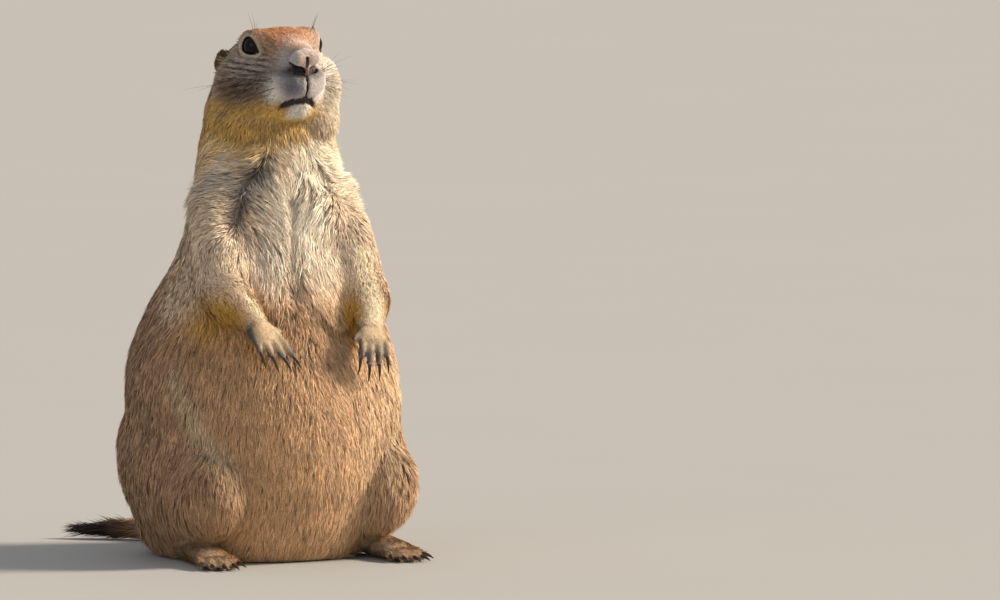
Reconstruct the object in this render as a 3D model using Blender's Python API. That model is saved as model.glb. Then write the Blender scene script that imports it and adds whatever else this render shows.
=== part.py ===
"""Black-tailed prairie dog sitting upright on its haunches, as a still, life-size model.

The animal faces -Y with +X at its own left side and +Z up. It rests on the soles of its hind feet,
its rump and its tail, all at Z = 0. Every size in the tables is in millimetres and is the outer form
of the coat, so that the solids reach to the tips of the fur.
"""

import math
import random

import bmesh
import bpy
from mathutils import Matrix, Vector
from mathutils.bvhtree import BVHTree

MM = 0.001
GAP = 0.3
PRISM_REACH = 110
SIDES = {"right": -1, "left": 1}
# Spare room round a limb where it lies against the body
LIMB_CLEARANCE = 0.36
# How each form is fused: grid size, rounds of smoothing and, where it is thinned, about how many triangles
FUSING = {
    "body": {"voxel": 1.6, "smooth": 14, "triangles": 1900},
    "skull": {"voxel": 1.2, "smooth": 36, "triangles": None},
    "head": {"voxel": 0.8, "smooth": 8, "triangles": 1700},
    "arm": {"voxel": 0.75, "smooth": 3, "triangles": 760},
    "foot": {"voxel": 0.95, "smooth": 3, "triangles": 430},
}
# The rings that round off a tube's end, in degrees from its side to its tip
CAP_TURNS = (32, 60, 82)
SHARP_ANGLE = 50

# The trunk and neck as level sections: height, front, back, half width
TRUNK = (
    (-2, -42, 60, 54),
    (12, -54, 75, 65),
    (30, -63, 81, 70),
    (52, -70, 80, 73),
    (80, -72, 77, 75),
    (108, -65, 74, 73),
    (136, -56, 61, 63),
    (162, -46, 45, 50),
    (188, -39, 35, 43),
    (210, -36, 30, 40.5),
    (228, -34, 27, 38),
    (246, -31, 22, 35),
)
NECK_ROOT_HEIGHT = 212
NECK_TOP_HEIGHT = 236
NECK_TOP_SLOPE = 14
# How far below the neck's root the head's own piece of the trunk starts
NECK_OVERLAP = 8

# Masses of the trunk on each side: centre, radii, tilt about X in degrees
HAUNCH = ((44, 4, 53), (34, 58, 50), 20)
KNEE = ((49, -34, 40), (23, 29, 29), 0)
BREAST = ((17, -23, 174), (21, 17, 32), 8)
SHOULDER = ((30, -9, 190), (18, 20, 24), 0)
UPPER_ARM = (
    ((32, -12, 194), 15),
    ((37, -24, 169), 16),
    ((40, -34, 148), 15),
)
# Where the upper arms and thighs part from the trunk: a level prism's centre, radii and tilt seen
# from the side, and how far from the mid line it starts
ARM_CUT = {"centre": (-23, 167), "radii": (21, 38), "tilt": 28, "inner": 24}
THIGH_CUT = {"centre": (-10, 50), "radii": (60, 49), "tilt": 14, "inner": 37}

# The forearms differ, because the right one reaches further in: centre, half width, half thickness
FOREARMS = {
    "right": (
        ((-40.5, -35, 147), 14.5, 14.5),
        ((-40.5, -47, 141), 13, 13),
        ((-38, -57.5, 137), 10, 10),
        ((-35.5, -64, 133), 7.6, 6.8),
    ),
    "left": (
        ((40.5, -35, 147), 14.5, 14.5),
        ((39.5, -46, 140), 13, 13),
        ((36, -56, 133), 10, 10),
        ((33.5, -62, 128), 7.6, 6.6),
    ),
}
# Wrist, knuckles and the way that the palm's breadth runs
PALMS = {
    "right": ((-36, -65, 131.5), (-32, -71, 125), (0.97, 0.1, 0.12)),
    "left": ((33, -62.5, 128), (33, -67.6, 121.5), (1, 0.12, 0)),
}
PALM_HALF_WIDTH = 8.4
PALM_HALF_THICKNESS = 4.4
WRIST_SHARE = 0.8
KNUCKLE_SHARE = 0.8
# Four fingers of each hand: place across the palm, length, splay in degrees
FINGERS = {
    "right": ((-1, 7.5, -10), (-0.34, 11, -4), (0.33, 13.5, 3), (0.97, 14, 9)),
    "left": ((-1, 9.5, -9), (-0.35, 13.5, -3), (0.32, 13, 3), (0.95, 9.5, 9)),
}
FINGER_RADII = (2.3, 2.1, 1.9)
# How far in from the palm's edge the outer fingers stand
FINGER_INSET = 1.6
FINGER_DIP = {"right": (0.5, -0.23, -0.83), "left": (0.02, -0.2, -0.98)}
THUMB_LENGTH = 5
THUMB_RADII = (2.0, 1.7)
THUMB_INSET = 1
# How much the thumb points inward and how much ahead
THUMB_WAY = (0.75, 0.65)
# A digit's arch and the dip of its tip, as shares of its length
DIGIT_ARCH = 0.12
DIGIT_DIP = 0.1
# Claws: length, radius at the root, curl in degrees, and how far ahead of the digit's end and above it
FRONT_CLAW = {"length": 10, "root": 1.4, "curl": 40, "ahead": 0.6, "above": 0}
CLAW_SUNK = 1.6
CLAW_STEPS = 3
CLAW_FLATNESS = 0.8
# How much of the root's radius is lost at the tip, and how late along the claw
CLAW_TAPER = (0.82, 1.4)

# The hind foot lies flat: toes forward, a little outward
HIND_FOOT = (
    ((51, -8, 8.5), 8.5, 8),
    ((52, -25, 7), 9, 7),
    ((53.5, -41, 5.8), 10, 6),
    ((54.5, -52, 4.8), 10.5, 5.2),
)
# Five toes: place across the foot, length, splay in degrees
TOES = ((-0.95, 10, -16), (-0.5, 15.5, -7), (0, 17.5, 0), (0.5, 16, 7), (0.95, 10.5, 17))
TOE_RADII = (3.0, 2.7, 2.3)
TOE_INSET = 2.6
TOE_DROP = 1
HIND_CLAW = {"length": 7.5, "root": 1.4, "curl": 30, "ahead": 1.2, "above": 0.5}

# The tail swings to the animal's right along the ground: centre, half width, half height
TAIL_CORE = (
    ((0, 56, 17), 9.5, 9),
    ((-6, 78, 9.5), 8, 7.5),
    ((-18, 96, 7), 6.4, 5.6),
    ((-33, 110, 6), 5.2, 4.6),
    ((-45, 119, 5.4), 3.4, 3.0),
)
# The tail's brush: rows of locks along the core, from and to shares of its length, so many in each row.
# Lengths run from the first row to the last. The rise is the angle that a lock stands off the core.
TAIL_LOCKS = {
    "rows": 6,
    "round": 7,
    "shares": (0.34, 0.98),
    "lengths": (15.3, 22.5),
    "length_spread": 0.1,
    "turn_spread": 0.16,
    "width": 4.8,
    "thick": 1.3,
    "rise": 17,
    "rise_spread": (0.75, 1.2),
    "rise_lost": 0.55,
    "root_share": 0.55,
    "lowest": 0.4,
}
# A lock's outline: share of its length, of its width and of its thickness
LOCK_PROFILE = ((0, 0.6, 0.9), (0.3, 1, 1), (0.62, 0.8, 0.8), (0.86, 0.45, 0.6), (1, 0.12, 0.3))
# Locks that point further down than this lie under the tail and are left out, but for the tip's
UNDERSIDE = -0.8

# The head's own frame: its place on the neck, and how far it turns and lifts in degrees
HEAD_PLACE = (0.5, -10, 264)
HEAD_TURN = 1
HEAD_LIFT = 0
# Head masses on the mid line in that frame: centre, radii, tilt about X
CRANIUM = ((0, 0, -1.5), (27.5, 29, 22), 0)
FOREHEAD = ((0, -11, 11), (21.5, 18.5, 12.4), -4)
BRIDGE = (
    ((0, -11, 10), 16, 12.5),
    ((0, -22, 9.8), 12.5, 10),
    ((0, -31, 8.6), 10, 8.4),
    ((0, -35.5, 8), 8.8, 7.6),
)
MUZZLE = (
    ((0, -4, -6), 31, 22),
    ((0, -15, -6), 27.5, 20),
    ((0, -25, -5.5), 21, 17),
    ((0, -32, -5), 14, 13),
)
CHIN = ((0, -25, -18.5), (11.5, 11, 9), -12)
JAW = ((0, -11, -17), (25, 21, 14), 0)
NOSE_PAD = ((0, -38.4, 6.2), (7.2, 4.6, 7), 0)
LIP_FRONT = ((0, -34.2, -5), (6, 6.6, 8), 0)
# Head masses on each side
CHEEK = ((17.4, -5, -11), (18.6, 22, 21.5), 0)
TEMPLE = ((13, 5, -2), (13.5, 18, 16.5), 0)
WHISKER_PAD = ((7.4, -30.5, -5), (8.2, 10.2, 9), 0)
ORBIT = ((14.2, -9.5, 14), (8.8, 11.5, 9.4), 0)
JOWL = ((17.2, 0.5, -26), (19.8, 25.5, 19), 0)
# The eye: centre, radius, outward direction, lid ring
EYE_CENTRE = (16.8, -12, 13)
EYE_RADIUS = 6.2
EYE_OUTWARD = (0.8, -0.58, 0.15)
LID_SEAT = 3.3
LID_RING = (5.6, 1.3)
LID_STRETCH = (1.2, 0.98)
LID_SIDES = (28, 8)
# The ear: centre, outer and hollow radii, and how it is tipped, rolled and turned
EAR_CENTRE = (24.2, 9.5, 2)
EAR_OUTER = (6.8, 3.2, 7.8)
EAR_HOLLOW = (5.4, 2.8, 6.4)
EAR_HOLLOW_SHIFT = (0, -1.7, 0.6)
EAR_TURN = (-10, 10, 56)
EAR_THINNING = 0.3
# Cuts that the face shows
NOSTRIL = (((2.2, -43.8, 2.6), 1.2), ((4.8, -42, 2.8), 1.7), ((7.6, -38, 5.6), 1.1))
# The cleft under the nose and the line of the mouth: sideways and height, both pressed into the face
PHILTRUM = ((0, -1.4), (0, -6.5), (0, -12))
MOUTH_SIDE = ((0, -12.4), (3.4, -12.8), (7, -14.2), (10.4, -16.8))
GROOVE = (0.8, 1.5)
GROOVE_SUNK = 0.5
# Where the look at the face starts, ahead of it
FACE_SIGHT = -90
NOSE_CUT_GROWTH = 1.1

COLOURS = {
    "coat_back": ((0.36, 0.25, 0.16), 0.9),
    "coat_belly": ((0.55, 0.40, 0.25), 0.9),
    "coat_head": ((0.42, 0.27, 0.15), 0.9),
    "paw": ((0.50, 0.40, 0.28), 0.85),
    "nose": ((0.10, 0.07, 0.06), 0.5),
    "eye": ((0.02, 0.015, 0.012), 0.1),
    "claw": ((0.06, 0.045, 0.04), 0.4),
    "tail": ((0.20, 0.14, 0.10), 0.9),
}
FINISHES = {
    "head": "coat_head",
    "neck": "coat_belly",
    "torso": "coat_belly",
    "thigh": "coat_back",
    "upper_arm": "coat_belly",
    "forearm": "coat_belly",
    "hand": "paw",
    "foot": "paw",
    "ear": "coat_head",
    "eye": "eye",
    "nose": "nose",
    "claw": "claw",
    "tail": "tail",
}


def point(place, side=1):
    """A place in millimetres as a vector in metres, mirrored to the side asked for."""
    return Vector((place[0] * side, place[1], place[2])) * MM


def mesh_object(name, bm):
    bmesh.ops.recalc_face_normals(bm, faces=bm.faces)
    mesh = bpy.data.meshes.new(name)
    bm.to_mesh(mesh)
    bm.free()
    obj = bpy.data.objects.new(name, mesh)
    bpy.context.scene.collection.objects.link(obj)
    return obj


def remove(*objects):
    for obj in objects:
        bpy.data.objects.remove(obj)


def copy_of(obj):
    twin = bpy.data.objects.new("copy", obj.data.copy())
    bpy.context.scene.collection.objects.link(twin)
    return twin


def apply_modifiers(obj):
    bpy.context.view_layer.update()
    graph = bpy.context.evaluated_depsgraph_get()
    mesh = bpy.data.meshes.new_from_object(obj.evaluated_get(graph))
    obj.modifiers.clear()
    obj.data = mesh
    return obj


def between(rows, steps):
    """Rows of numbers with a smooth curve through them, cut into steps between each pair."""
    made = []
    for i in range(len(rows) - 1):
        a = rows[max(i - 1, 0)]
        b = rows[i]
        c = rows[i + 1]
        d = rows[min(i + 2, len(rows) - 1)]
        for k in range(steps):
            t = k / steps
            made.append(
                tuple(
                    q + 0.5 * t * (r - p + t * (2 * p - 5 * q + 4 * r - s + t * (3 * (q - r) + s - p)))
                    for p, q, r, s in zip(a, b, c, d)
                )
            )
    return made + [tuple(rows[-1])]


def sweep(sections, breadth=(1, 0, 0), upright=None, sides=16, steps=4, side=1, grow=0.0, blunt=True):
    """A closed tube through sections of centre, half width and half height, with round ends.

    breadth is the way that the half width runs. upright, where given, is the axis that all the
    sections face; without it they face along the tube.
    """
    rows = between([(*centre, wide, high) for centre, wide, high in sections], steps)
    centres = [Vector(row[:3]) for row in rows]
    rings = []
    for i, row in enumerate(rows):
        ahead = centres[min(i + 1, len(rows) - 1)] - centres[max(i - 1, 0)]
        along = Vector(upright) if upright else ahead.normalized()
        across = (Vector(breadth) - along * along.dot(Vector(breadth))).normalized()
        rings.append((centres[i], across, along.cross(across), along, row[3] + grow, row[4] + grow))
    if blunt:
        rings = end_cap(rings[0], -1)[::-1] + rings + end_cap(rings[-1], 1)
    bm = bmesh.new()
    loops = []
    for centre, across, up, _, wide, high in rings:
        turns = [2 * math.pi * k / sides for k in range(sides)]
        loops.append(
            [
                bm.verts.new(point(centre + across * wide * math.cos(t) + up * high * math.sin(t), side))
                for t in turns
            ]
        )
    for low, top in zip(loops, loops[1:]):
        for k in range(sides):
            bm.faces.new((low[k], low[k - 1], top[k - 1], top[k]))
    bm.faces.new(loops[0])
    bm.faces.new(loops[-1][::-1])
    return mesh_object("sweep", bm)


def end_cap(ring, way):
    """Shrinking rings that round off an end."""
    centre, across, up, along, wide, high = ring
    reach = min(wide, high)
    caps = []
    for degrees in CAP_TURNS:
        turn = math.radians(degrees)
        share = math.cos(turn)
        caps.append(
            (centre + along * way * reach * math.sin(turn), across, up, along, wide * share, high * share)
        )
    return caps


def ball(mass, side=1, grow=0.0, detail=3):
    """An ellipsoid from its centre, radii and tilt about X."""
    centre, radii, tilt = mass
    bm = bmesh.new()
    bmesh.ops.create_icosphere(bm, subdivisions=detail, radius=MM)
    sizes = Matrix.Diagonal((*(r + grow for r in radii), 1))
    turn = Matrix.Rotation(math.radians(tilt), 4, "X")
    bm.transform(Matrix.Translation(point(centre, side)) @ turn @ sizes)
    return mesh_object("ball", bm)


def joined(objects):
    """The objects' meshes in one object, each still its own shell."""
    bm = bmesh.new()
    for obj in objects:
        bm.from_mesh(obj.data)
    remove(*objects)
    return mesh_object("joined", bm)


def fused(name, objects):
    """Overlapping forms as one smooth closed skin, fused and thinned as the table says."""
    voxel, smooth, triangles = FUSING[name].values()
    obj = joined(objects)
    remesh = obj.modifiers.new("Fuse", "REMESH")
    remesh.mode = "VOXEL"
    remesh.voxel_size = voxel * MM
    relax = obj.modifiers.new("Relax", "SMOOTH")
    relax.factor = 0.5
    relax.iterations = smooth
    apply_modifiers(obj)
    if triangles:
        thin = obj.modifiers.new("Thin", "DECIMATE")
        thin.ratio = min(1.0, triangles / (2 * len(obj.data.polygons)))
        thin.use_collapse_triangulate = True
        apply_modifiers(obj)
    obj.name = name
    return largest(obj)


def largest(obj):
    """Keeps the biggest closed surface of a mesh."""
    bm = bmesh.new()
    bm.from_mesh(obj.data)
    groups = []
    left = set(bm.verts)
    while left:
        group = set()
        edge_of = [left.pop()]
        while edge_of:
            vertex = edge_of.pop()
            group.add(vertex)
            for edge in vertex.link_edges:
                other = edge.other_vert(vertex)
                if other in left:
                    left.remove(other)
                    edge_of.append(other)
        groups.append(group)
    groups.sort(key=len)
    scrap = [vertex for group in groups[:-1] for vertex in group]
    bmesh.ops.delete(bm, geom=scrap, context="VERTS")
    bm.to_mesh(obj.data)
    bm.free()
    return obj


def boolean(obj, others, operation):
    """Cuts the others from obj, joins them to it, or keeps what they share, and removes them."""
    group = bpy.data.collections.new("group")
    bpy.context.scene.collection.children.link(group)
    for other in others:
        bpy.context.scene.collection.objects.unlink(other)
        group.objects.link(other)
    step = obj.modifiers.new("Boolean", "BOOLEAN")
    step.operation = operation
    step.operand_type = "COLLECTION"
    step.collection = group
    step.solver = "EXACT"
    apply_modifiers(obj)
    remove(*others)
    bpy.data.collections.remove(group)
    return largest(obj)


def cut(obj, *others):
    return boolean(obj, others, "DIFFERENCE")


def shared(obj, other):
    """What two solids share. The second one is removed."""
    step = obj.modifiers.new("Boolean", "BOOLEAN")
    step.operation = "INTERSECT"
    step.object = other
    step.solver = "EXACT"
    apply_modifiers(obj)
    remove(other)
    return largest(obj)


def grown(obj, amount):
    """A copy whose surface stands out by amount."""
    twin = copy_of(obj)
    swell = twin.modifiers.new("Swell", "DISPLACE")
    swell.strength = amount * MM
    swell.mid_level = 0
    return apply_modifiers(twin)


def halved(obj, centre, normal):
    """Keeps the side of a plane that its normal points away from, with a flat face there."""
    bm = bmesh.new()
    bm.from_mesh(obj.data)
    made = bmesh.ops.bisect_plane(
        bm,
        geom=[*bm.verts, *bm.edges, *bm.faces],
        dist=1e-7,
        plane_co=centre,
        plane_no=normal,
        clear_outer=True,
    )
    edges = [e for e in made["geom_cut"] if isinstance(e, bmesh.types.BMEdge)]
    bmesh.ops.triangle_fill(bm, edges=edges, use_beauty=True)
    bmesh.ops.recalc_face_normals(bm, faces=bm.faces)
    bm.to_mesh(obj.data)
    bm.free()
    return largest(obj)


def parted(obj, centre, normal):
    """Two solids either side of a thin plane cut: the one behind the normal, and the one ahead."""
    centre = Vector(centre)
    normal = Vector(normal).normalized()
    ahead = copy_of(obj)
    halved(obj, centre - normal * GAP * MM / 2, normal)
    halved(ahead, centre + normal * GAP * MM / 2, -normal)
    return obj, ahead


def neck_plane(height, slope):
    """Centre and normal of a cut across the neck, higher at the nape by its slope in degrees."""
    lean = math.radians(slope)
    return point((0, 0, height)), Vector((0, -math.sin(lean), math.cos(lean)))


def head_frame():
    """The head's place in the model, as a matrix for meshes made in the head's own frame."""
    turn = Matrix.Rotation(math.radians(HEAD_TURN), 4, "Z")
    lift = Matrix.Rotation(math.radians(-HEAD_LIFT), 4, "X")
    return Matrix.Translation(point(HEAD_PLACE)) @ turn @ lift


def on_head(*objects):
    """Moves objects from the head's own frame to the model."""
    for obj in objects:
        obj.data.transform(head_frame())
    return list(objects)


def trunk_form(lowest, sides=28):
    """The trunk and neck from a lowest height up."""
    rows = [
        ((0, (front + back) / 2, height), half, (back - front) / 2)
        for height, front, back, half in TRUNK
        if height >= lowest
    ]
    return sweep(rows, upright=(0, 0, 1), sides=sides, steps=5)


def upper_arm_form(side, grow=0.0):
    return sweep([(centre, r, r) for centre, r in UPPER_ARM], side=side, grow=grow)


def side_prism(shape, side, grow=0.0):
    """An oval seen from the side, run outward from near the mid line: what a limb takes of the body."""
    sides = 24
    y, z = shape["centre"]
    tilt = math.radians(shape["tilt"])
    bm = bmesh.new()
    loops = []
    for x in (shape["inner"] - grow, PRISM_REACH):
        loop = []
        for k in range(sides):
            turn = 2 * math.pi * k / sides
            wide = (shape["radii"][0] + grow) * math.cos(turn)
            high = (shape["radii"][1] + grow) * math.sin(turn)
            place = (
                x,
                y + wide * math.cos(tilt) - high * math.sin(tilt),
                z + wide * math.sin(tilt) + high * math.cos(tilt),
            )
            loop.append(bm.verts.new(point(place, side)))
        loops.append(loop)
    for k in range(sides):
        bm.faces.new((loops[0][k - 1], loops[0][k], loops[1][k], loops[1][k - 1]))
    for loop in loops:
        bm.faces.new(loop)
    return mesh_object("prism", bm)


def part_side(body, shape, side):
    """Parts what an oval prism takes from the body, with a thin gap."""
    taken = shared(copy_of(body), side_prism(shape, side))
    cut(body, side_prism(shape, side, GAP))
    return taken


def make_body():
    """Trunk, haunches, shoulders and upper arms as one form, before anything is parted from it."""
    forms = [trunk_form(TRUNK[0][0])]
    for side in SIDES.values():
        forms += [ball(mass, side) for mass in (HAUNCH, KNEE, BREAST, SHOULDER)]
        forms += on_head(ball(JOWL, side))
        forms.append(upper_arm_form(side))
    return fused("body", forms)


def lid_ring(side):
    """A ring of skin round the eye, wider than it is high."""
    outward = Vector(EYE_OUTWARD).normalized()
    rearward = (Vector((0, 1, 0)) - outward * outward.y).normalized()
    upward = outward.cross(rearward)
    seat = Vector(EYE_CENTRE) + outward * LID_SEAT
    ring, thick = LID_RING
    around, sides = LID_SIDES
    bm = bmesh.new()
    loops = []
    for k in range(around):
        turn = 2 * math.pi * k / around
        spoke = rearward * math.cos(turn) * LID_STRETCH[0] + upward * math.sin(turn) * LID_STRETCH[1]
        loop = []
        for j in range(sides):
            swing = 2 * math.pi * j / sides
            place = seat + spoke * (ring + thick * math.cos(swing)) + outward * thick * math.sin(swing)
            loop.append(bm.verts.new(point(place, side)))
        loops.append(loop)
    for k in range(around):
        for j in range(sides):
            low = loops[k - 1]
            top = loops[k]
            bm.faces.new((low[j - 1], low[j], top[j], top[j - 1]))
    return mesh_object("lid", bm)


def make_head():
    """The head with its lids, before anything is cut from it."""
    masses = [ball(mass) for mass in (CRANIUM, FOREHEAD, CHIN, JAW)] + [sweep(BRIDGE), sweep(MUZZLE)]
    for side in SIDES.values():
        masses += [ball(mass, side) for mass in (CHEEK, TEMPLE, ORBIT, JOWL)]
    skull = fused("skull", masses)
    forms = [skull, ball(NOSE_PAD), ball(LIP_FRONT)]
    for side in SIDES.values():
        forms += [ball(WHISKER_PAD, side), lid_ring(side)]
    forms = on_head(*forms) + [trunk_form(NECK_ROOT_HEIGHT - NECK_OVERLAP)]
    return fused("head", forms)


def make_ear(side):
    """A small rounded cup whose mouth faces forward and out, and a plain copy to cut its seat with."""
    lean, roll, turn = (math.radians(d) for d in EAR_TURN)
    way = Matrix.Rotation(turn * side, 4, "Z") @ Matrix.Rotation(roll * side, 4, "Y")
    way = way @ Matrix.Rotation(lean, 4, "X")
    place = Matrix.Translation(point(EAR_CENTRE, side)) @ way
    shell = ball(((0, 0, 0), EAR_OUTER, 0))
    seat = ball(((0, 0, 0), EAR_OUTER, 0), grow=GAP)
    hollow = ball((EAR_HOLLOW_SHIFT, EAR_HOLLOW, 0), detail=2)
    for obj in (shell, seat, hollow):
        obj.data.transform(place)
    thin = shell.modifiers.new("Thin", "DECIMATE")
    thin.ratio = EAR_THINNING
    apply_modifiers(shell)
    return cut(shell, hollow), seat


def nostril(side):
    """A cutter that runs in from the front of the nose and out to its side."""
    return sweep([(centre, r, r) for centre, r in NOSTRIL], side=side, sides=6, steps=2, blunt=False)


def groove(face, places, breadth):
    """A cutter along a line on the face, whose places are found by looking straight at it."""
    frame = head_frame()
    sight = frame.to_3x3() @ Vector((0, 1, 0))
    rows = []
    for across, height in between(places, 2):
        met = face.ray_cast(frame @ point((across, FACE_SIGHT, height)), sight)[0]
        rows.append(((met + sight * GROOVE_SUNK * MM) / MM, *GROOVE))
    return sweep(rows, breadth=breadth, sides=6, steps=1, blunt=False)


def eye_ball(side, grow=0.0):
    radius = EYE_RADIUS + grow
    return ball((EYE_CENTRE, (radius, radius, radius), 0), side)


def finish_head(head, made):
    """Parts the nose, eyes and ears from the head and cuts the mouth and nostrils."""
    inner, outer = on_head(ball(NOSE_PAD, grow=NOSE_CUT_GROWTH), ball(NOSE_PAD, grow=NOSE_CUT_GROWTH + GAP))
    nose = shared(copy_of(head), inner)
    cut(head, outer)
    cut(nose, *on_head(nostril(1), nostril(-1)))
    made["nose"] = nose
    face = BVHTree.FromObject(head, bpy.context.evaluated_depsgraph_get())
    mouth = [(-across, height) for across, height in MOUTH_SIDE[:0:-1]] + list(MOUTH_SIDE)
    cutters = [groove(face, PHILTRUM, (1, 0, 0)), groove(face, mouth, (0, 0, 1))]
    cutters += on_head(nostril(1), nostril(-1))
    for name, side in SIDES.items():
        ear, seat = on_head(*make_ear(side))
        made[f"ear_{name}"] = ear
        made[f"eye_{name}"] = on_head(eye_ball(side))[0]
        cutters += [seat, *on_head(eye_ball(side, GAP))]
    for cutter in cutters:
        cut(head, cutter)
    made["head"] = head


def claw(root, way, bend, sizes, grow=0.0):
    """A curved, tapered claw from its root, its first direction and the way that it bends."""
    length = sizes["length"]
    turn = math.radians(sizes["curl"])
    lost, late = CLAW_TAPER
    rows = [(root - way * (CLAW_SUNK + grow), sizes["root"] * CLAW_FLATNESS, sizes["root"])]
    for k in range(CLAW_STEPS + 1):
        share = k / CLAW_STEPS
        angle = turn * share
        ahead = way * (length * share * math.cos(angle / 2)) + bend * (length * share * math.sin(angle / 2))
        radius = sizes["root"] * (1 - lost * share**late)
        rows.append((root + ahead, radius * CLAW_FLATNESS, radius))
    across = way.cross(bend)
    return sweep(rows, breadth=across, sides=6, steps=1, grow=grow, blunt=False)


def digit_rows(root, way, bend, length, radii):
    """Sections of a finger or toe that arches and then dips to its tip."""
    rows = []
    for share, radius in zip((0.0, 0.5, 1.0), radii):
        lift = bend * length * (DIGIT_DIP * share - DIGIT_ARCH * math.sin(math.pi * share))
        rows.append((root + way * length * share + lift, radius, radius))
    return rows


def claw_set(name, digits, sizes, limb, made):
    """Seats a claw in the end of each digit of a limb."""
    for number, (tip, way, bend) in enumerate(digits, 1):
        cut(limb, claw(tip, way, bend, sizes, GAP))
        made[f"claw_{name}_{number}"] = claw(tip, way, bend, sizes)


def make_hand(name, side):
    """Forearm and hand as one form, and the tip of each finger with its claw's direction."""
    wrist, knuckles, breadth = (Vector(v) for v in PALMS[name])
    across = breadth.normalized()
    ahead = Vector(FINGER_DIP[name]).normalized()
    inward = Vector((0, 1, 0)) - ahead * ahead.y
    bend = inward.normalized()
    palm_rows = [
        (wrist, PALM_HALF_WIDTH * WRIST_SHARE, PALM_HALF_THICKNESS),
        ((wrist + knuckles) / 2, PALM_HALF_WIDTH, PALM_HALF_THICKNESS),
        (knuckles, PALM_HALF_WIDTH, PALM_HALF_THICKNESS * KNUCKLE_SHARE),
    ]
    forms = [sweep(FOREARMS[name]), sweep(palm_rows, breadth=across)]
    digits = []
    for place, length, splay in FINGERS[name]:
        turn = Matrix.Rotation(math.radians(splay), 3, bend)
        way = ahead + across * math.sin(math.radians(splay))
        way.normalize()
        root = knuckles + across * place * (PALM_HALF_WIDTH - FINGER_INSET)
        rows = digit_rows(root, way, bend, length, FINGER_RADII)
        forms.append(sweep(rows, sides=10, steps=3))
        digits.append((rows[-1][0] + way * FRONT_CLAW["ahead"], way, (turn @ bend).normalized()))
    inner = -across if name == "left" else across
    thumb_root = (wrist + knuckles) / 2 + inner * (PALM_HALF_WIDTH - THUMB_INSET)
    thumb_way = (inner * THUMB_WAY[0] + ahead * THUMB_WAY[1]).normalized()
    thumb = [(thumb_root + thumb_way * THUMB_LENGTH * k, r, r) for k, r in enumerate(THUMB_RADII)]
    forms.append(sweep(thumb, sides=8))
    return fused("arm", forms), digits


def make_foot(side):
    """Hind foot as one form, and the tip of each toe with its claw's direction."""
    rows = [((x * side, y, z), wide, high) for (x, y, z), wide, high in HIND_FOOT]
    forms = [sweep(rows)]
    ball_of_foot, heel = Vector(rows[-1][0]), Vector(rows[-2][0])
    ahead = (ball_of_foot - heel) * Vector((1, 1, 0))
    ahead.normalize()
    across = Vector((0, 0, 1)).cross(ahead) * -side
    down = Vector((0, 0, -1))
    claw_seat = down * -HIND_CLAW["above"]
    digits = []
    for place, length, splay in TOES:
        way = (ahead + across * math.sin(math.radians(splay))).normalized()
        root = ball_of_foot + across * place * (HIND_FOOT[-1][1] - TOE_INSET) + down * TOE_DROP
        toe = digit_rows(root, way, down, length, TOE_RADII)
        forms.append(sweep(toe, sides=10, steps=3))
        digits.append((toe[-1][0] + way * HIND_CLAW["ahead"] + claw_seat, way, down))
    return fused("foot", forms), digits


def flat_below(obj):
    """Rests a form on the ground with a flat at Z = 0."""
    if min(vertex.co.z for vertex in obj.data.vertices) < 0:
        halved(obj, Vector((0, 0, 0)), Vector((0, 0, -1)))
    return obj


def tail_lock(core, share, around, length, draw):
    """One flat, tapered lock that leaves the tail's core and bends back along it."""
    index = share * (len(core) - 1)
    i = min(int(index), len(core) - 2)
    row = [a + (b - a) * (index - i) for a, b in zip(core[i], core[i + 1])]
    centre = Vector(row[:3])
    along = (Vector(core[i + 1][:3]) - Vector(core[i][:3])).normalized()
    across = Vector((1, 0, 0)) - along * along.x
    across.normalize()
    up = along.cross(across)
    out = across * math.cos(around) * row[3] + up * math.sin(around) * row[4]
    spread = out.normalized()
    flat = along.cross(spread)
    rise = math.radians(TAIL_LOCKS["rise"] * draw.uniform(*TAIL_LOCKS["rise_spread"]))
    root = centre + out * TAIL_LOCKS["root_share"]
    rows = []
    for part, wide, thick in LOCK_PROFILE:
        lean = rise * (1 - TAIL_LOCKS["rise_lost"] * part)
        place = root + (along * math.cos(lean) + spread * math.sin(lean)) * length * part
        place.z = max(place.z, TAIL_LOCKS["lowest"])
        rows.append((place, TAIL_LOCKS["width"] / 2 * wide, TAIL_LOCKS["thick"] / 2 * thick))
    return sweep(rows, breadth=flat, sides=4, steps=1, blunt=False)


def make_tail():
    """The tail's core with its brush of locks, joined into one closed form."""
    draw = random.Random(11)
    core = between([(*centre, wide, high) for centre, wide, high in TAIL_CORE], 4)
    tail = sweep(TAIL_CORE, sides=14, steps=3)
    locks = []
    rows = TAIL_LOCKS["rows"]
    count = TAIL_LOCKS["round"]
    spread = TAIL_LOCKS["turn_spread"]
    runs = (TAIL_LOCKS["shares"], TAIL_LOCKS["lengths"])
    for r in range(rows):
        share, length = (low + (high - low) * r / (rows - 1) for low, high in runs)
        for k in range(count):
            around = 2 * math.pi * (k + 0.5 * (r % 2) + draw.uniform(-spread, spread)) / count
            if math.sin(around) < UNDERSIDE and r < rows - 1:
                continue
            varied = 1 + draw.uniform(-1, 1) * TAIL_LOCKS["length_spread"]
            locks.append(tail_lock(core, share, around, length * varied, draw))
    return boolean(tail, locks, "UNION")


def tail_seat():
    """What is cut from the rump so that the tail's root sits in it."""
    return sweep(TAIL_CORE[:3], sides=14, steps=3, grow=GAP)


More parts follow.
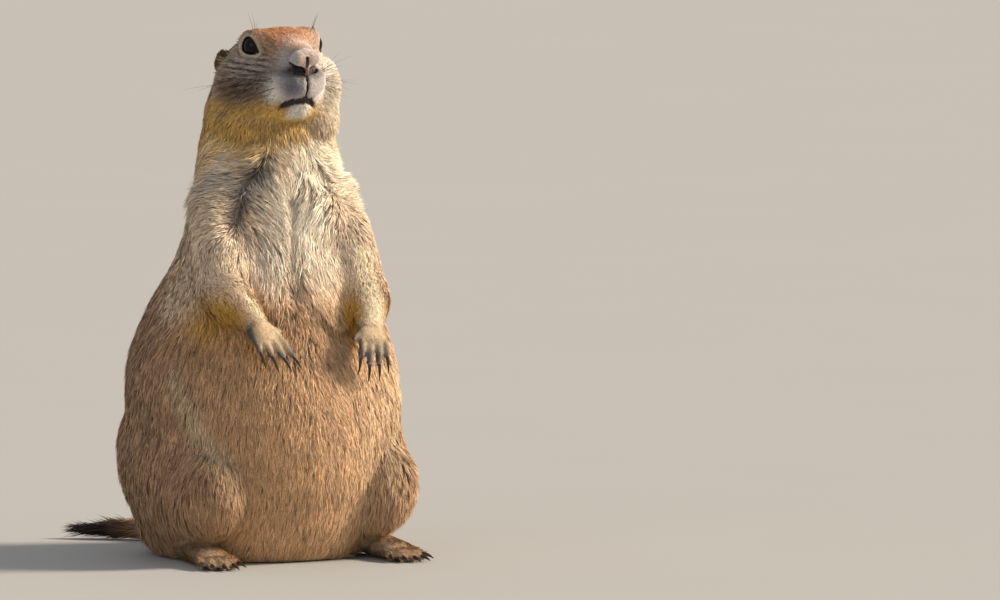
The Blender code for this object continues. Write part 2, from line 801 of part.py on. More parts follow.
def paint(obj, name, finish):
    """Names a finished node and gives it its plain material."""
    obj.name = name
    colour, rough = COLOURS[finish]
    material = bpy.data.materials.get(finish) or bpy.data.materials.new(finish)
    material.use_nodes = True
    shader = material.node_tree.nodes["Principled BSDF"]
    shader.inputs["Base Color"].default_value = (*colour, 1)
    shader.inputs["Roughness"].default_value = rough
    shader.inputs["Metallic"].default_value = 0
    obj.data.materials.clear()
    obj.data.materials.append(material)
    obj.data.shade_smooth()
    obj.data.set_sharp_from_angle(angle=math.radians(SHARP_ANGLE))


def finish_of(name):
    return next(finish for start, finish in FINISHES.items() if name.startswith(start))


def centre_on_base(objects):
    """Moves the model so that its box stands on the origin."""
    corners = [vertex.co for obj in objects for vertex in obj.data.vertices]
    low = Vector([min(corner[k] for corner in corners) for k in range(3)])
    high = Vector([max(corner[k] for corner in corners) for k in range(3)])
    shift = Matrix.Translation((-(low.x + high.x) / 2, -(low.y + high.y) / 2, -low.z))
    for obj in objects:
        obj.data.transform(shift)


def main():
    for obj in list(bpy.data.objects):
        bpy.data.objects.remove(obj)
    made = {}
    body = make_body()
    arms = {}
    for name, side in SIDES.items():
        arm, fingers = make_hand(name, side)
        foot, toes = make_foot(side)
        cut(body, grown(arm, LIMB_CLEARANCE))
        cut(body, grown(foot, LIMB_CLEARANCE))
        flat_below(foot)
        claw_set(f"front_{name}", fingers, FRONT_CLAW, arm, made)
        claw_set(f"hind_{name}", toes, HIND_CLAW, foot, made)
        made[f"foot_{name}"] = foot
        arms[name] = arm
    for name, arm in arms.items():
        wrist, knuckles, _ = (Vector(v) for v in PALMS[name])
        made[f"forearm_{name}"], made[f"hand_{name}"] = parted(arm, wrist * MM, knuckles - wrist)
    cut(body, tail_seat())
    made["tail"] = make_tail()
    for name, side in SIDES.items():
        made[f"thigh_{name}"] = part_side(body, THIGH_CUT, side)
        made[f"upper_arm_{name}"] = part_side(body, ARM_CUT, side)
    torso, upper = parted(body, *neck_plane(NECK_ROOT_HEIGHT, 0))
    top = neck_plane(NECK_TOP_HEIGHT, NECK_TOP_SLOPE)
    made["torso"] = torso
    made["neck"] = parted(upper, *top)[0]
    low, head = parted(make_head(), *top)
    remove(low)
    finish_head(head, made)
    keep = set(made.values())
    for obj in list(bpy.data.objects):
        if obj not in keep:
            bpy.data.objects.remove(obj)
    for name, obj in made.items():
        paint(flat_below(obj), name, finish_of(name))
    centre_on_base(list(made.values()))


main()
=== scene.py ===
"""Looks of a sitting black-tailed prairie dog: skin, coat, eyes, nose, claws and whiskers."""

import math
from types import SimpleNamespace

import bmesh
import bpy
import numpy as np
from bpy.props import FloatProperty, FloatVectorProperty, IntProperty, PointerProperty
from mathutils import Matrix, Vector
from mathutils.bvhtree import BVHTree


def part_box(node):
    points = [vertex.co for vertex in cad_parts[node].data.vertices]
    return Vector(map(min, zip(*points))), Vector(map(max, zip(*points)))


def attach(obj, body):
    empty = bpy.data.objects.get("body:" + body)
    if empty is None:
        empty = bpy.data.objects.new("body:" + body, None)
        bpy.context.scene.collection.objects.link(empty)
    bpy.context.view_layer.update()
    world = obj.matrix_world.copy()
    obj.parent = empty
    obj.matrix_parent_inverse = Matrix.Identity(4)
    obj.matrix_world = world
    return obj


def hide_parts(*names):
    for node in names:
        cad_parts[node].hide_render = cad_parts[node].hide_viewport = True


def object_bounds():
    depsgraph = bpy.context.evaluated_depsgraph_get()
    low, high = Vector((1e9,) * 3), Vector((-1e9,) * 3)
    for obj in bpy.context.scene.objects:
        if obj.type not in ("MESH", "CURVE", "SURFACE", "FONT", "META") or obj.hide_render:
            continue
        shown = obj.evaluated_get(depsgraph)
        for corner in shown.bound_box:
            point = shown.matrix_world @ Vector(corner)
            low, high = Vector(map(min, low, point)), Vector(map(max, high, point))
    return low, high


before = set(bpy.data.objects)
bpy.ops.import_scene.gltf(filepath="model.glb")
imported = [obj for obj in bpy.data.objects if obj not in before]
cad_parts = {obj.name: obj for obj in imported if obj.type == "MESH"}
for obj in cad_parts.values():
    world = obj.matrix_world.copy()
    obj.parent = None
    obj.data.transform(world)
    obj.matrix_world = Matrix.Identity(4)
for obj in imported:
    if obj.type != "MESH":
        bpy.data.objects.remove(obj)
CAD_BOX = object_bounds()

bl_info = {
    "name": "Prairie Dog",
    "version": (1, 0, 0),
    "blender": (4, 5, 0),
    "location": "3D View > Sidebar > Prairie Dog",
    "description": "Skin, coat and face of a sitting prairie dog round its packed solids",
    "category": "Object",
}

MM = 0.001
# How far the flesh is swollen before it is fused into one skin, and the grid that fuses it, in millimetres
SWELL = 0.2
SKIN_VOXEL = 0.75
# About how many triangles the finished skin has
MOST_SKIN = 190000
SIDES = {"right": -1, "left": 1}
# The left eye in the head's own millimetres: its middle, its radius and the way that it looks
EYE_AT = (16.8, -12.0, 13.0)
EYE_RADIUS = 6.2
EYE_OUT = (0.8, -0.58, 0.15)
# The head's place in the body's millimetres
HEAD_AT = (0.5, -10.0, 264.0)
# The nose's tip in the head, from which the hair runs back
NOSE_TIP = (0, -42, 4)


def middle(node):
    low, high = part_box(node)
    return (low + high) / 2


def head_frame():
    """The head's own axes and origin, found from the two eyes."""
    right, left = middle("eye_right"), middle("eye_left")
    across = (left - right).normalized()
    back = Vector((0, 0, 1)).cross(across).normalized()
    up = across.cross(back)
    origin = (right + left) / 2 - (back * EYE_AT[1] + up * EYE_AT[2]) * MM
    return np.array([across, back, up]), np.array(origin)


HEAD_AXES, HEAD_ORIGIN = head_frame()
BODY_ORIGIN = HEAD_ORIGIN - np.array(HEAD_AT) * MM


def body_mm(places):
    return (places - BODY_ORIGIN) / MM


def head_mm(places):
    return (places - HEAD_ORIGIN) @ HEAD_AXES.T / MM


def from_body(places):
    return np.asarray(places, float) * MM + BODY_ORIGIN


def from_head(places):
    return np.asarray(places, float) * MM @ HEAD_AXES + HEAD_ORIGIN


# Parts of the skin and the solids that each one covers
PART_NODES = {
    "head": ("head", "nose"),
    "neck": ("neck",),
    "torso": ("torso",),
    "ear": ("ear_right", "ear_left"),
    "upper_arm": ("upper_arm_right", "upper_arm_left"),
    "forearm": ("forearm_right", "forearm_left"),
    "hand": ("hand_right", "hand_left"),
    "thigh": ("thigh_right", "thigh_left"),
    "foot": ("foot_right", "foot_left"),
    "tail": ("tail",),
}
PARTS = list(PART_NODES)
# The flesh of the tail, in the body's millimetres: place and radius
TAIL_LINE = (
    ((0, 52, 18), 8.4),
    ((-6, 78, 9.6), 6.4),
    ((-18, 96, 7), 4.4),
    ((-33, 110, 6), 2.9),
    ((-45, 119, 5.6), 1.9),
    ((-53, 124, 5.4), 1.0),
)
# The way that the coat lies on limbs and ears; the left upper arm's is mirrored on the right one
ARM_WAY = (11, -27, -50)
FOREARM_WAY = {"right": (5, -29, -15), "left": (-7, -27, -19)}
HAND_WAY = {"right": (0.58, -0.35, -0.72), "left": (0.02, -0.3, -0.95)}
FOOT_WAY = (0, -1.0, -0.1)
EAR_WAY = (0, 0.35, 1.0)
# Where the chest's hair parts: lines in the body's millimetres, right side and left side
PARTINGS = (
    ((-12, -31, 218), (-18, -28, 210), (-24, -28, 203), (-29, -32, 193), (-33, -35, 182)),
    ((15, -33, 213), (24, -30, 205), (31, -33, 194)),
)
# The pale fold along the front of each thigh
THIGH_FOLD = ((66, -26, 105), (59, -41, 79), (45, -61, 46))
# The mouth in the head's millimetres: sideways and height
MOUTH = ((0, -12.2), (3.4, -12.8), (7, -14.2), (10.4, -16.8))
# The slit between nose and mouth, in the same way
PHILTRUM = ((0, 0.5), (0, -6), (0, -12.2))
# The furrow between the two halves of the chest, and the bright ridges down the forearms: partly pale fur,
# partly painted light on their lit edges
FURROW = ((1.8, -37.5, 197), (-1, -42, 178), (-3.6, -45.2, 163), (-4.5, -52, 146))
ARM_RIDGES = (
    ((-38, -46, 167), (-35, -60, 151), (-31, -68, 138), (-29, -73, 129)),
    ((38.5, -42, 168), (38, -55, 153), (37, -64, 143), (33.5, -71, 128)),
)
# The lower edges of the chest's two halves
CHEST_EDGES = (
    ((-31, -46, 158), (-23, -52, 143), (-15, -56, 134), (-8, -53, 141), (-4.5, -49, 154)),
    ((0, -49, 152), (7, -55, 136), (17, -58, 126), (26, -54, 131)),
)
# The opening between the lids as seen straight at the eye: towards the nose and up, in millimetres
OPENING = (
    (5.5, -2.2), (3.4, 0.8), (1.4, 2.9), (-0.7, 4.1), (-2.6, 4.2), (-4.2, 2.8),
    (-5.0, 0.4), (-4.6, -2.4), (-2.8, -3.9), (0.4, -4.3), (3.3, -3.8),
)
# Rows of points across a lid: past the opening's edge and out from the eyeball, in millimetres
LID_ROWS = ((0, 0.05), (0.3, 0.5), (1.1, 0.4), (2.4, -0.4), (4.2, -2.0), (3.4, -3.2), (0.3, -1.2))
LID_POINTS = 64
# Rows of whiskers, those of the pads first: first and last root in the head's millimetres, count, way and
# longest length in millimetres
WHISKERS = (
    ((11, -31, -1), (13, -25, -2), 5, (0.85, 0.35, 0.28), 30),
    ((11.5, -31, -4), (14, -25, -5), 5, (0.9, 0.35, 0.02), 34),
    ((11, -31, -7), (14, -25, -8), 5, (0.85, 0.35, -0.3), 30),
    ((15, -15, 19.5), (16.5, -11, 19.5), 4, (0.25, -0.1, 0.95), 17),
    ((30, -10, -6), (32, -6, -8), 3, (0.9, 0.3, -0.2), 22),
)
PAD_ROWS = 3
# Soft spots of colour or relief, some of them painted light and some painted shade: middle and reach, in the
# millimetres of the body or of the head
SPOTS = {
    "shade_beside_chest": ((-28, -32, 196), (15, 18, 26)),
    "shade_under_chest": ((-4, -58, 126), (30, 20, 14)),
    "lit_lap": ((46, -50, 86), (26, 34, 60)),
    "lit_bib": ((9, -36, 222), (10, 18, 15)),
    "elbow": ((50, -50, 135), (9, 16, 7)),
    "inner_arm": ((27, -53, 134), (4, 9, 9)),
    "crown": ((0, -13, 22), (14, 16, 7)),
    "brow": ((4, -25, 17), (5, 7, 5)),
    "grizzled_crown": ((0, -10, 22), (18, 18, 8)),
    "lit_cheek": ((25, -18, -10), (10, 16, 18)),
    "cheek_patch": ((28.5, -17, -8), (6, 9, 5)),
    "cheek_streaks": ((22, -19, -1), (13, 14, 11)),
    "under_eye": ((23, -22, 3), (7, 8, 5)),
    "ear_root": ((26, 5, 4), (8, 9, 9)),
    "dark_ear": ((25, 6.5, 1.5), (4.5, 4, 5)),
    "whisker_pad": ((6.5, -36, -6.2), (4.6, 7, 4.2)),
    "lip": ((13, -29, -9), (2.8, 5, 4.5)),
    "bridge": ((0, -31, 14), (6, 6, 4)),
    "beside_nose": ((9, -35, 6), (3, 4.5, 5)),
    "behind_nose": ((0, -40, 5), (6.2, 6, 4.6)),
    "under_nose": ((-0.6, -38, 0.6), (7, 5, 1.9)),
    "bare_under_nose": ((0, -38, 0.6), (8, 6, 2.6)),
    "septum": ((0, -43, 1.4), (0.9, 3, 2.4)),
}


def srgb(*numbers):
    """A colour picked as 0 to 255 screen numbers, in scene light."""
    shares = [number / 255 for number in numbers]
    return tuple(share / 12.92 if share <= 0.04045 else ((share + 0.055) / 1.055) ** 2.4 for share in shares)


def colour_property(name, description, *numbers):
    return FloatVectorProperty(
        name=name, description=description, default=srgb(*numbers), subtype="COLOR", size=3, min=0.0, max=1.0
    )


def length_property(name, description, millimetres):
    return FloatProperty(
        name=name, description=description, default=millimetres * MM, min=0.0, unit="LENGTH", precision=5
    )


class PrairieDogCoat(bpy.types.PropertyGroup):
    """Sizes of the hair"""

    back: length_property("Back hair", "Length of the hair on the back and flanks", 9.5)
    belly: length_property("Belly hair", "Length of the hair on the belly", 8.0)
    chest: length_property("Chest hair", "Length of the hair on the chest", 12.5)
    cheek: length_property("Cheek hair", "Length of the hair on the cheeks", 5.0)
    crown: length_property("Crown hair", "Length of the hair on top of the head", 3.2)
    muzzle: length_property("Muzzle hair", "Length of the hair round the nose and mouth", 1.5)
    limb: length_property("Limb hair", "Length of the hair on the arms", 4.6)
    paw: length_property("Paw hair", "Length of the hair on hands and feet", 1.3)
    tail: length_property("Tail hair", "Length of the hair of the tail's brush", 15.0)
    width: length_property("Hair width", "Width of a tuft of body hair at its root", 0.55)
    tufts: IntProperty(name="Tufts", description="Tufts of hair in all", default=430000, min=1000)
    seed: IntProperty(name="Seed", description="Start of the random draws", default=5)


class PrairieDogColours(bpy.types.PropertyGroup):
    """Colours of coat, skin, eyes and claws"""

    back: colour_property("Back", "Grizzled brown of the back", 146, 118, 92)
    flank: colour_property("Flank", "Brown of the flanks and thighs", 180, 142, 106)
    belly: colour_property("Belly", "Pinkish tan of the belly", 214, 171, 126)
    chest: colour_property("Chest", "Cream of the chest", 240, 224, 200)
    buff: colour_property("Buff", "Yellow buff of the throat, jaw and elbows", 208, 166, 84)
    crown: colour_property("Crown", "Rusty orange of the crown", 172, 116, 76)
    face: colour_property("Face", "Grey brown of the face", 156, 134, 112)
    muzzle: colour_property("Muzzle", "Pale grey of the muzzle", 214, 204, 198)
    chin: colour_property("Chin", "White of the chin and lips", 236, 228, 214)
    dark: colour_property("Dark", "Dark brown of hair roots, ear and tail tip", 52, 38, 32)
    paw: colour_property("Paw", "Grey buff of the hands and feet", 208, 180, 142)
    tail: colour_property("Tail", "Pinkish brown of the tail's root", 160, 120, 92)
    nose: colour_property("Nose", "Short fur of the nose", 212, 189, 172)
    nostril: colour_property("Nostril", "Bare dark skin of the nostrils and lips", 40, 28, 28)
    lips: colour_property("Lips", "Purple grey inside of the lips", 84, 66, 68)
    claw: colour_property("Claw", "Horn of the claws", 44, 34, 32)
    iris: colour_property("Iris", "Nearly black brown of the eye", 16, 10, 8)


class PrairieDogStage(bpy.types.PropertyGroup):
    """Floor, light and camera"""

    floor: colour_property("Floor", "Pale floor", 164, 162, 158)
    key: FloatProperty(name="Key light", description="Strength of the warm side light", default=6.3, min=0.0)
    fill: FloatProperty(name="Fill light", description="Power of the soft front light", default=3.0, min=0.0)
    sky: FloatProperty(name="Sky", description="Strength of the light from all round", default=0.54, min=0.0)
    distance: FloatProperty(
        name="Distance", description="Camera to object", default=12.0, min=0.5, unit="LENGTH"
    )


def settings(kind):
    return getattr(bpy.context.scene, f"prairie_dog_{kind}")


def names_in(group):
    """The names of a property group's own properties."""
    return [name for name in group.bl_rna.properties.keys() if name not in ("rna_type", "name")]


def colours():
    """The colour properties as arrays."""
    group = settings("colours")
    return SimpleNamespace(**{name: np.array(getattr(group, name)) for name in names_in(group)})


# Small numeric helpers

def step(value, low, high):
    """0 below low, 1 above high and smooth between."""
    share = np.clip((value - low) / (high - low), 0, 1)
    return share * share * (3 - 2 * share)


def spot(places, centre, radii):
    """A soft spot: 1 at its centre, fading with distance."""
    return np.exp(-0.5 * (((places - np.array(centre)) / np.array(radii)) ** 2).sum(1))


def marked(places, name):
    return spot(places, *SPOTS[name])


def mixed(base, other, share):
    return base + (other - base) * share[:, None]


def laid(base, *layers):
    """A colour with layers over it, each a colour and how much it covers."""
    for other, share in layers:
        base = mixed(base, other, share)
    return base


def blended(way, other, share):
    return way * (1 - share)[:, None] + other * share[:, None]


def unit(vectors):
    return vectors / np.maximum(np.linalg.norm(vectors, axis=1, keepdims=True), 1e-12)


def on_lines(places, line):
    """Distance to a line of points, the foot's share along it, and the way from the line."""
    best = np.full(len(places), 1e9)
    share = np.zeros(len(places))
    away = np.zeros_like(places)
    line = np.asarray(line, float)
    count = len(line) - 1
    for k in range(count):
        run = line[k + 1] - line[k]
        t = np.clip((places - line[k]) @ run / (run @ run), 0, 1)
        off = places - line[k] - t[:, None] * run
        far = np.linalg.norm(off, axis=1)
        near = far < best
        best[near] = far[near]
        share[near] = (k + t[near]) / count
        away[near] = off[near]
    return best, share, away


def band(places, line, width):
    """A soft band: 1 on a line of points, fading with distance."""
    return np.exp(-((on_lines(places, line)[0] / width) ** 2))


def waves(places, size, seed):
    """Smooth noise between about -1 and 1, from a few crossing waves."""
    draw = np.random.default_rng(seed)
    total = np.zeros(len(places))
    for _ in range(7):
        way = draw.normal(size=3)
        way *= draw.uniform(0.6, 1.5) / np.linalg.norm(way)
        total += np.sin(places @ way * 2 * math.pi / size + draw.uniform(0, 2 * math.pi))
    return total / 2.6


def relax(values, edges, rounds, weight):
    """Each value moved towards the mean of its neighbours, round by round."""
    a, b = edges.T
    count = len(values)
    linked = np.maximum(np.bincount(a, minlength=count) + np.bincount(b, minlength=count), 1)
    found = values.astype(float).reshape(count, -1)
    weight = np.broadcast_to(np.asarray(weight, float), (count,))
    for _ in range(rounds):
        for k in range(found.shape[1]):
            column = found[:, k]
            mean = np.bincount(a, column[b], count) + np.bincount(b, column[a], count)
            found[:, k] = column + weight * (mean / linked - column)
    return found.reshape(values.shape)


# Mesh helpers

def numbers_of(rows, key, width, kind=np.float32):
    """What each row keeps under a key, as rows of numbers."""
    found = np.empty(len(rows) * width, kind)
    rows.foreach_get(key, found)
    return found.reshape(-1, width)


def places_of(mesh):
    return numbers_of(mesh.vertices, "co", 3).astype(float)


def normals_of(mesh):
    return numbers_of(mesh.vertices, "normal", 3).astype(float)


def edges_of(mesh):
    return numbers_of(mesh.edges, "vertices", 2, np.int32)


def set_places(mesh, places):
    mesh.vertices.foreach_set("co", places.astype(np.float32).ravel())
    mesh.update()


# Kinds of kept values by how many numbers each has, and what holds them
KINDS = {1: ("FLOAT", "value"), 3: ("FLOAT_VECTOR", "vector"), 4: ("FLOAT_COLOR", "color")}


def put(mesh, name, values):
    """Keeps values on the mesh's points as a named attribute."""
    kind, key = KINDS[values.shape[1] if values.ndim > 1 else 1]
    mesh.attributes.new(name, kind, "POINT").data.foreach_set(key, values.astype(np.float32).ravel())


def put_colour(mesh, name, colour):
    put(mesh, name, np.column_stack([colour, np.ones(len(colour))]))


def get(mesh, name):
    layer = mesh.attributes[name]
    width, key = next((width, key) for width, (kind, key) in KINDS.items() if kind == layer.data_type)
    found = numbers_of(layer.data, key, width).astype(float)
    return found if width > 1 else found[:, 0]


def new_object(name, mesh):
    obj = bpy.data.objects.new(name, mesh)
    bpy.context.scene.collection.objects.link(obj)
    return obj


def finished(bm, name):
    """The faces of bm as a new object."""
    mesh = bpy.data.meshes.new(name)
    bm.to_mesh(mesh)
    bm.free()
    return new_object(name, mesh)


def applied(obj):
    """Applies the object's modifiers to its mesh."""
    bpy.context.view_layer.update()
    graph = bpy.context.evaluated_depsgraph_get()
    mesh = bpy.data.meshes.new_from_object(obj.evaluated_get(graph))
    obj.modifiers.clear()
    obj.data = mesh
    return obj


def smoothed(obj, rounds):
    mesh = obj.data
    set_places(mesh, relax(places_of(mesh), edges_of(mesh), rounds, 0.5))
    return obj


def coloured(obj, material):
    """Gives the object smooth shading and one material."""
    obj.data.shade_smooth()
    obj.data.materials.clear()
    obj.data.materials.append(material)
    return obj


def remeshed(obj, voxel):
    fuse = obj.modifiers.new("Fuse", "REMESH")
    fuse.mode = "VOXEL"
    fuse.voxel_size = voxel * MM
    return applied(obj)


def tube(bm, line, radii, sides=12):
    """Adds to bm a closed tube with flat ends through points, in metres."""
    line = [Vector(p) for p in line]
    rings = []
    for k, (place, radius) in enumerate(zip(line, radii)):
        along = (line[min(k + 1, len(line) - 1)] - line[max(k - 1, 0)]).normalized()
        across = (across - along * across.dot(along) if k else along.orthogonal()).normalized()
        up = along.cross(across)
        turns = [2 * math.pi * j / sides for j in range(sides)]
        ring = [place + (across * math.cos(t) + up * math.sin(t)) * radius for t in turns]
        rings.append([bm.verts.new(point) for point in ring])
    for low, high in zip(rings, rings[1:]):
        for j in range(sides):
            bm.faces.new((low[j - 1], low[j], high[j], high[j - 1]))
    bm.faces.new(rings[0][::-1])
    bm.faces.new(rings[-1])


def tube_rows(line):
    """Rows of place and radius on a smooth curve through a line of them."""
    return curve_points([(*place, radius) for place, radius in line], 4)


def places_in(line):
    """The places in a line of places and radii."""
    return np.array([place for place, _ in line], float)


def curve_points(rows, steps):
    """Rows of numbers with a smooth curve through them."""
    rows = np.asarray(rows, float)
    found = []
    for k in range(len(rows) - 1):
        a, b, c, d = rows[max(k - 1, 0)], rows[k], rows[k + 1], rows[min(k + 2, len(rows) - 1)]
        for j in range(steps):
            t = j / steps
            found.append(b + 0.5 * t * (c - a + t * (2 * a - 5 * b + 4 * c - d + t * (3 * (b - c) + d - a))))
    return np.array([*found, rows[-1]])


# Materials

def shader_of(name, rough, specular=0.5):
    material = bpy.data.materials.new(name)
    material.use_nodes = True
    shader = material.node_tree.nodes["Principled BSDF"]
    shader.inputs["Roughness"].default_value = rough
    shader.inputs["Specular IOR Level"].default_value = specular
    return material, material.node_tree, shader


def noise(tree, scale, detail, stretch=None):
    """A noise texture on the object's own coordinates, drawn out where stretch is given."""
    place = tree.nodes.new("ShaderNodeTexCoord").outputs["Object"]
    if stretch:
        mapping = tree.nodes.new("ShaderNodeMapping")
        mapping.inputs["Scale"].default_value = stretch
        tree.links.new(place, mapping.inputs["Vector"])
        place = mapping.outputs["Vector"]
    texture = tree.nodes.new("ShaderNodeTexNoise")
    texture.inputs["Scale"].default_value = scale
    texture.inputs["Detail"].default_value = detail
    tree.links.new(place, texture.inputs["Vector"])
    return texture.outputs["Fac"]


def ramped(tree, factor, first, last, low=0.0, high=1.0):
    """A colour that runs from the first to the last as a factor goes from low to high."""
    ramp = tree.nodes.new("ShaderNodeValToRGB")
    for element, place, colour in zip(ramp.color_ramp.elements, (low, high), (first, last)):
        element.position = place
        element.color = (*colour, 1)
    tree.links.new(factor, ramp.inputs["Fac"])
    return ramp.outputs["Color"]


def varied(tree, colour, factor, low, high):
    """The colour made darker and lighter by a factor from 0 to 1."""
    mix = tree.nodes.new("ShaderNodeMix")
    mix.data_type = "RGBA"
    mix.blend_type = "MULTIPLY"
    mix.inputs["Factor"].default_value = 1
    tree.links.new(colour, mix.inputs["A"])
    tree.links.new(ramped(tree, factor, [low] * 3, [high] * 3, 0.3, 0.7), mix.inputs["B"])
    return mix.outputs["Result"]


def attribute(tree, name):
    node = tree.nodes.new("ShaderNodeAttribute")
    node.attribute_name = name
    return node.outputs["Color"]


def bumped(tree, shader, height, strength, distance):
    bump = tree.nodes.new("ShaderNodeBump")
    bump.inputs["Strength"].default_value = strength
    bump.inputs["Distance"].default_value = distance
    tree.links.new(height, bump.inputs["Height"])
    tree.links.new(bump.outputs["Normal"], shader.inputs["Normal"])


def hair_material():
    found = bpy.data.materials.get("coat hair")
    if found:
        return found
    material, tree, shader = shader_of("coat hair", 0.62, 0.32)
    shader.inputs["Sheen Weight"].default_value = 0.12
    shader.inputs["Sheen Roughness"].default_value = 0.45
    colour = varied(tree, attribute(tree, "hair"), noise(tree, 900, 2), 0.86, 1.12)
    tree.links.new(colour, shader.inputs["Base Color"])
    return material


def skin_material():
    material, tree, shader = shader_of("skin", 0.8, 0.2)
    fine = noise(tree, 1400, 3, (1, 1, 0.35))
    tree.links.new(varied(tree, attribute(tree, "skin"), fine, 0.7, 1.1), shader.inputs["Base Color"])
    bumped(tree, shader, fine, 0.5, 0.0004)
    return material


def ramp_material(name, rough, grain, first, last, specular=0.5, low=0.0, high=1.0):
    """A material whose colour runs between two tones with a noise of the given grain."""
    material, tree, shader = shader_of(name, rough, specular)
    tree.links.new(ramped(tree, noise(tree, *grain), first, last, low, high), shader.inputs["Base Color"])
    return material


# The skin

def flesh():
    """The solids of flesh and the tail's core as one mesh of closed shells, a little swollen."""
    bm = bmesh.new()
    for part, nodes in PART_NODES.items():
        for node in nodes:
            if part != "tail":
                bm.from_mesh(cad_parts[node].data)
    bmesh.ops.remove_doubles(bm, verts=bm.verts, dist=1e-6)
    bm.normal_update()
    for vertex in bm.verts:
        vertex.co += vertex.normal * SWELL * MM
    line = tube_rows(TAIL_LINE)
    tube(bm, from_body(line[:, :3]), line[:, 3] * MM)
    bmesh.ops.recalc_face_normals(bm, faces=bm.faces)
    return finished(bm, "skin")


def nearest_parts(places):
    """Which part of the body each place belongs to, by the nearest solid."""
    corners, faces, owner = [], [], []
    start = 0
    for number, part in enumerate(PARTS):
        for node in PART_NODES[part]:
            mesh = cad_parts[node].data
            corners += [v.co[:] for v in mesh.vertices]
            faces += [[start + i for i in p.vertices] for p in mesh.polygons]
            owner += [number] * len(mesh.polygons)
            start = len(corners)
    tree = BVHTree.FromPolygons(corners, faces)
    owner = np.array(owner)
    return owner[[tree.find_nearest(place)[2] for place in places.tolist()]]


def shares_of(places, edges):
    """For each part, how much each place belongs to it, soft at the joins."""
    number = nearest_parts(places)
    shares = np.eye(len(PARTS))[number]
    shares = relax(shares, edges, 14, 0.6)
    return {part: shares[:, k] for k, part in enumerate(PARTS)}, number


def of_parts(share, **much):
    """The sum of a number for each named part, by how much each place belongs to it."""
    return sum(share[part] * value for part, value in much.items())


def among(share, *parts):
    return np.clip(sum(share[part] for part in parts), 0, 1)


def turn_of(body):
    """How far round from the front each place is, in radians."""
    return np.abs(np.arctan2(body[:, 0], -(body[:, 1] - 4)))


def folded(places):
    """The places of both sides laid on the left side."""
    return np.column_stack([np.abs(places[:, 0]), places[:, 1:]])


def eye_distance(head):
    """Distance to the nearer eye's middle, in the head's millimetres."""
    return np.linalg.norm(folded(head) - np.array(EYE_AT), axis=1)


def eye_axes():
    """The left eye's own axes in the head: towards the nose, up and straight out."""
    out = np.array(EYE_OUT) / np.linalg.norm(EYE_OUT)
    ahead = np.array((0, -1.0, 0)) + out[1] * out
    ahead /= np.linalg.norm(ahead)
    return ahead, np.cross(ahead, out) * np.sign(np.cross(ahead, out)[2]), out


def rim_radius(turn):
    """How far the lids' edge is from the eye's axis, by the turn round it."""
    rows = np.array(OPENING)
    curve = curve_points(np.vstack([rows[-1:], rows, rows[:2]]), 8)[8:-8]
    turns = np.arctan2(curve[:, 1], curve[:, 0])
    return np.interp(turn, turns, np.linalg.norm(curve, axis=1), period=2 * math.pi)


def past_lids(head):
    """How far each place lies outside the opening of the nearer eye, and the way straight from it."""
    ahead, up, out = eye_axes()
    off = folded(head) - np.array(EYE_AT)
    flat = np.column_stack([off @ ahead, off @ up])
    far = np.linalg.norm(flat, axis=1)
    past = far - rim_radius(np.arctan2(flat[:, 1], flat[:, 0]))
    past = np.where((off @ out < -2) | (far > 16), 99, past)
    way = unit(flat) @ np.array([ahead, up])
    return past, way * np.column_stack([np.where(head[:, 0] < 0, -1, 1), np.ones((len(head), 2))])


def add_lids(bm):
    """Two lids as one fine ring round each eye, joined to the skin's mesh."""
    turns = np.linspace(0, 2 * math.pi, LID_POINTS, endpoint=False)
    rim = rim_radius(turns)
    height = np.sqrt(np.maximum(EYE_RADIUS**2 - rim**2, 1))
    ahead, up, out = eye_axes()
    flat = np.outer(np.cos(turns), ahead) + np.outer(np.sin(turns), up)
    for sign in SIDES.values():
        rings = []
        for past, rise in LID_ROWS:
            points = np.array(EYE_AT) + flat * (rim + past)[:, None] + out * (height + rise)[:, None]
            rings.append([bm.verts.new(p) for p in from_head(points * (sign, 1, 1))])
        for low, high in zip(rings, rings[1:] + rings[:1]):
            for j in range(LID_POINTS):
                bm.faces.new((low[j - 1], low[j], high[j], high[j - 1]))


def coat_depth(body, head, share):
    """How far the skin lies under the outer form of the coat, in millimetres."""
    on_head = 1.9 - 0.9 * step(head[:, 2], -6, 12)
    on_head = on_head + (0.55 - on_head) * step(-head[:, 1], 14, 34)
    forearm = 1.3 - 0.7 * step(-body[:, 1], 44, 66)
    depth = of_parts(
        share,
        head=on_head,
        neck=2.4,
        torso=2.6,
        ear=0.15,
        upper_arm=1.8,
        forearm=forearm,
        hand=0.35,
        thigh=2.6,
        foot=0.5,
    )
    near_eye = 1 - step(eye_distance(head), 7, 11)
    return depth * (1 - near_eye) - 0.1 * near_eye


def chest_relief(body):
    """How far the chest's furrow, partings and lower edges go in, or out where it is less than 0."""
    deep = 3.2 * band(body, FURROW, 4.5)
    for line in PARTINGS:
        deep = deep + 2.4 * band(body, line, 4)
    for line in CHEST_EDGES:
        far, _, away = on_lines(body, line)
        deep = deep - 2.0 * np.exp(-((far / 6.5) ** 2)) * away[:, 2] / np.maximum(far, 1)
    return deep


def smooth_share(head, share):
    """How strongly each place is smoothed: the trunk most, the face, ears and paws least."""
    face = share["head"] * step(-head[:, 1], -4, 12)
    keen = np.clip(of_parts(share, ear=3, hand=1.6) + face + share["foot"], 0, 1)
    return 0.5 * (1 - keen) + 0.04


def below_mouth(head):
    """Height above the mouth's line, and how open the mouth is there from 0 to 1."""
    rows = curve_points(MOUTH, 5)
    side = np.abs(head[:, 0])
    height = head[:, 2] - np.interp(side, rows[:, 0], rows[:, 1])
    return height, (1 - step(side, 7.5, 11.5)) * step(-head[:, 1], 14, 22)


def mouth_share(head):
    """How much each place belongs to the dark inside of the lips, whose colour is partly painted shade under
    the upper lip.
    """
    height, wide = below_mouth(head)
    return wide * step(-height, -0.4, 0.1) * (1 - step(-height, 1.5 + 2.1 * wide, 2.6 + 2.5 * wide))


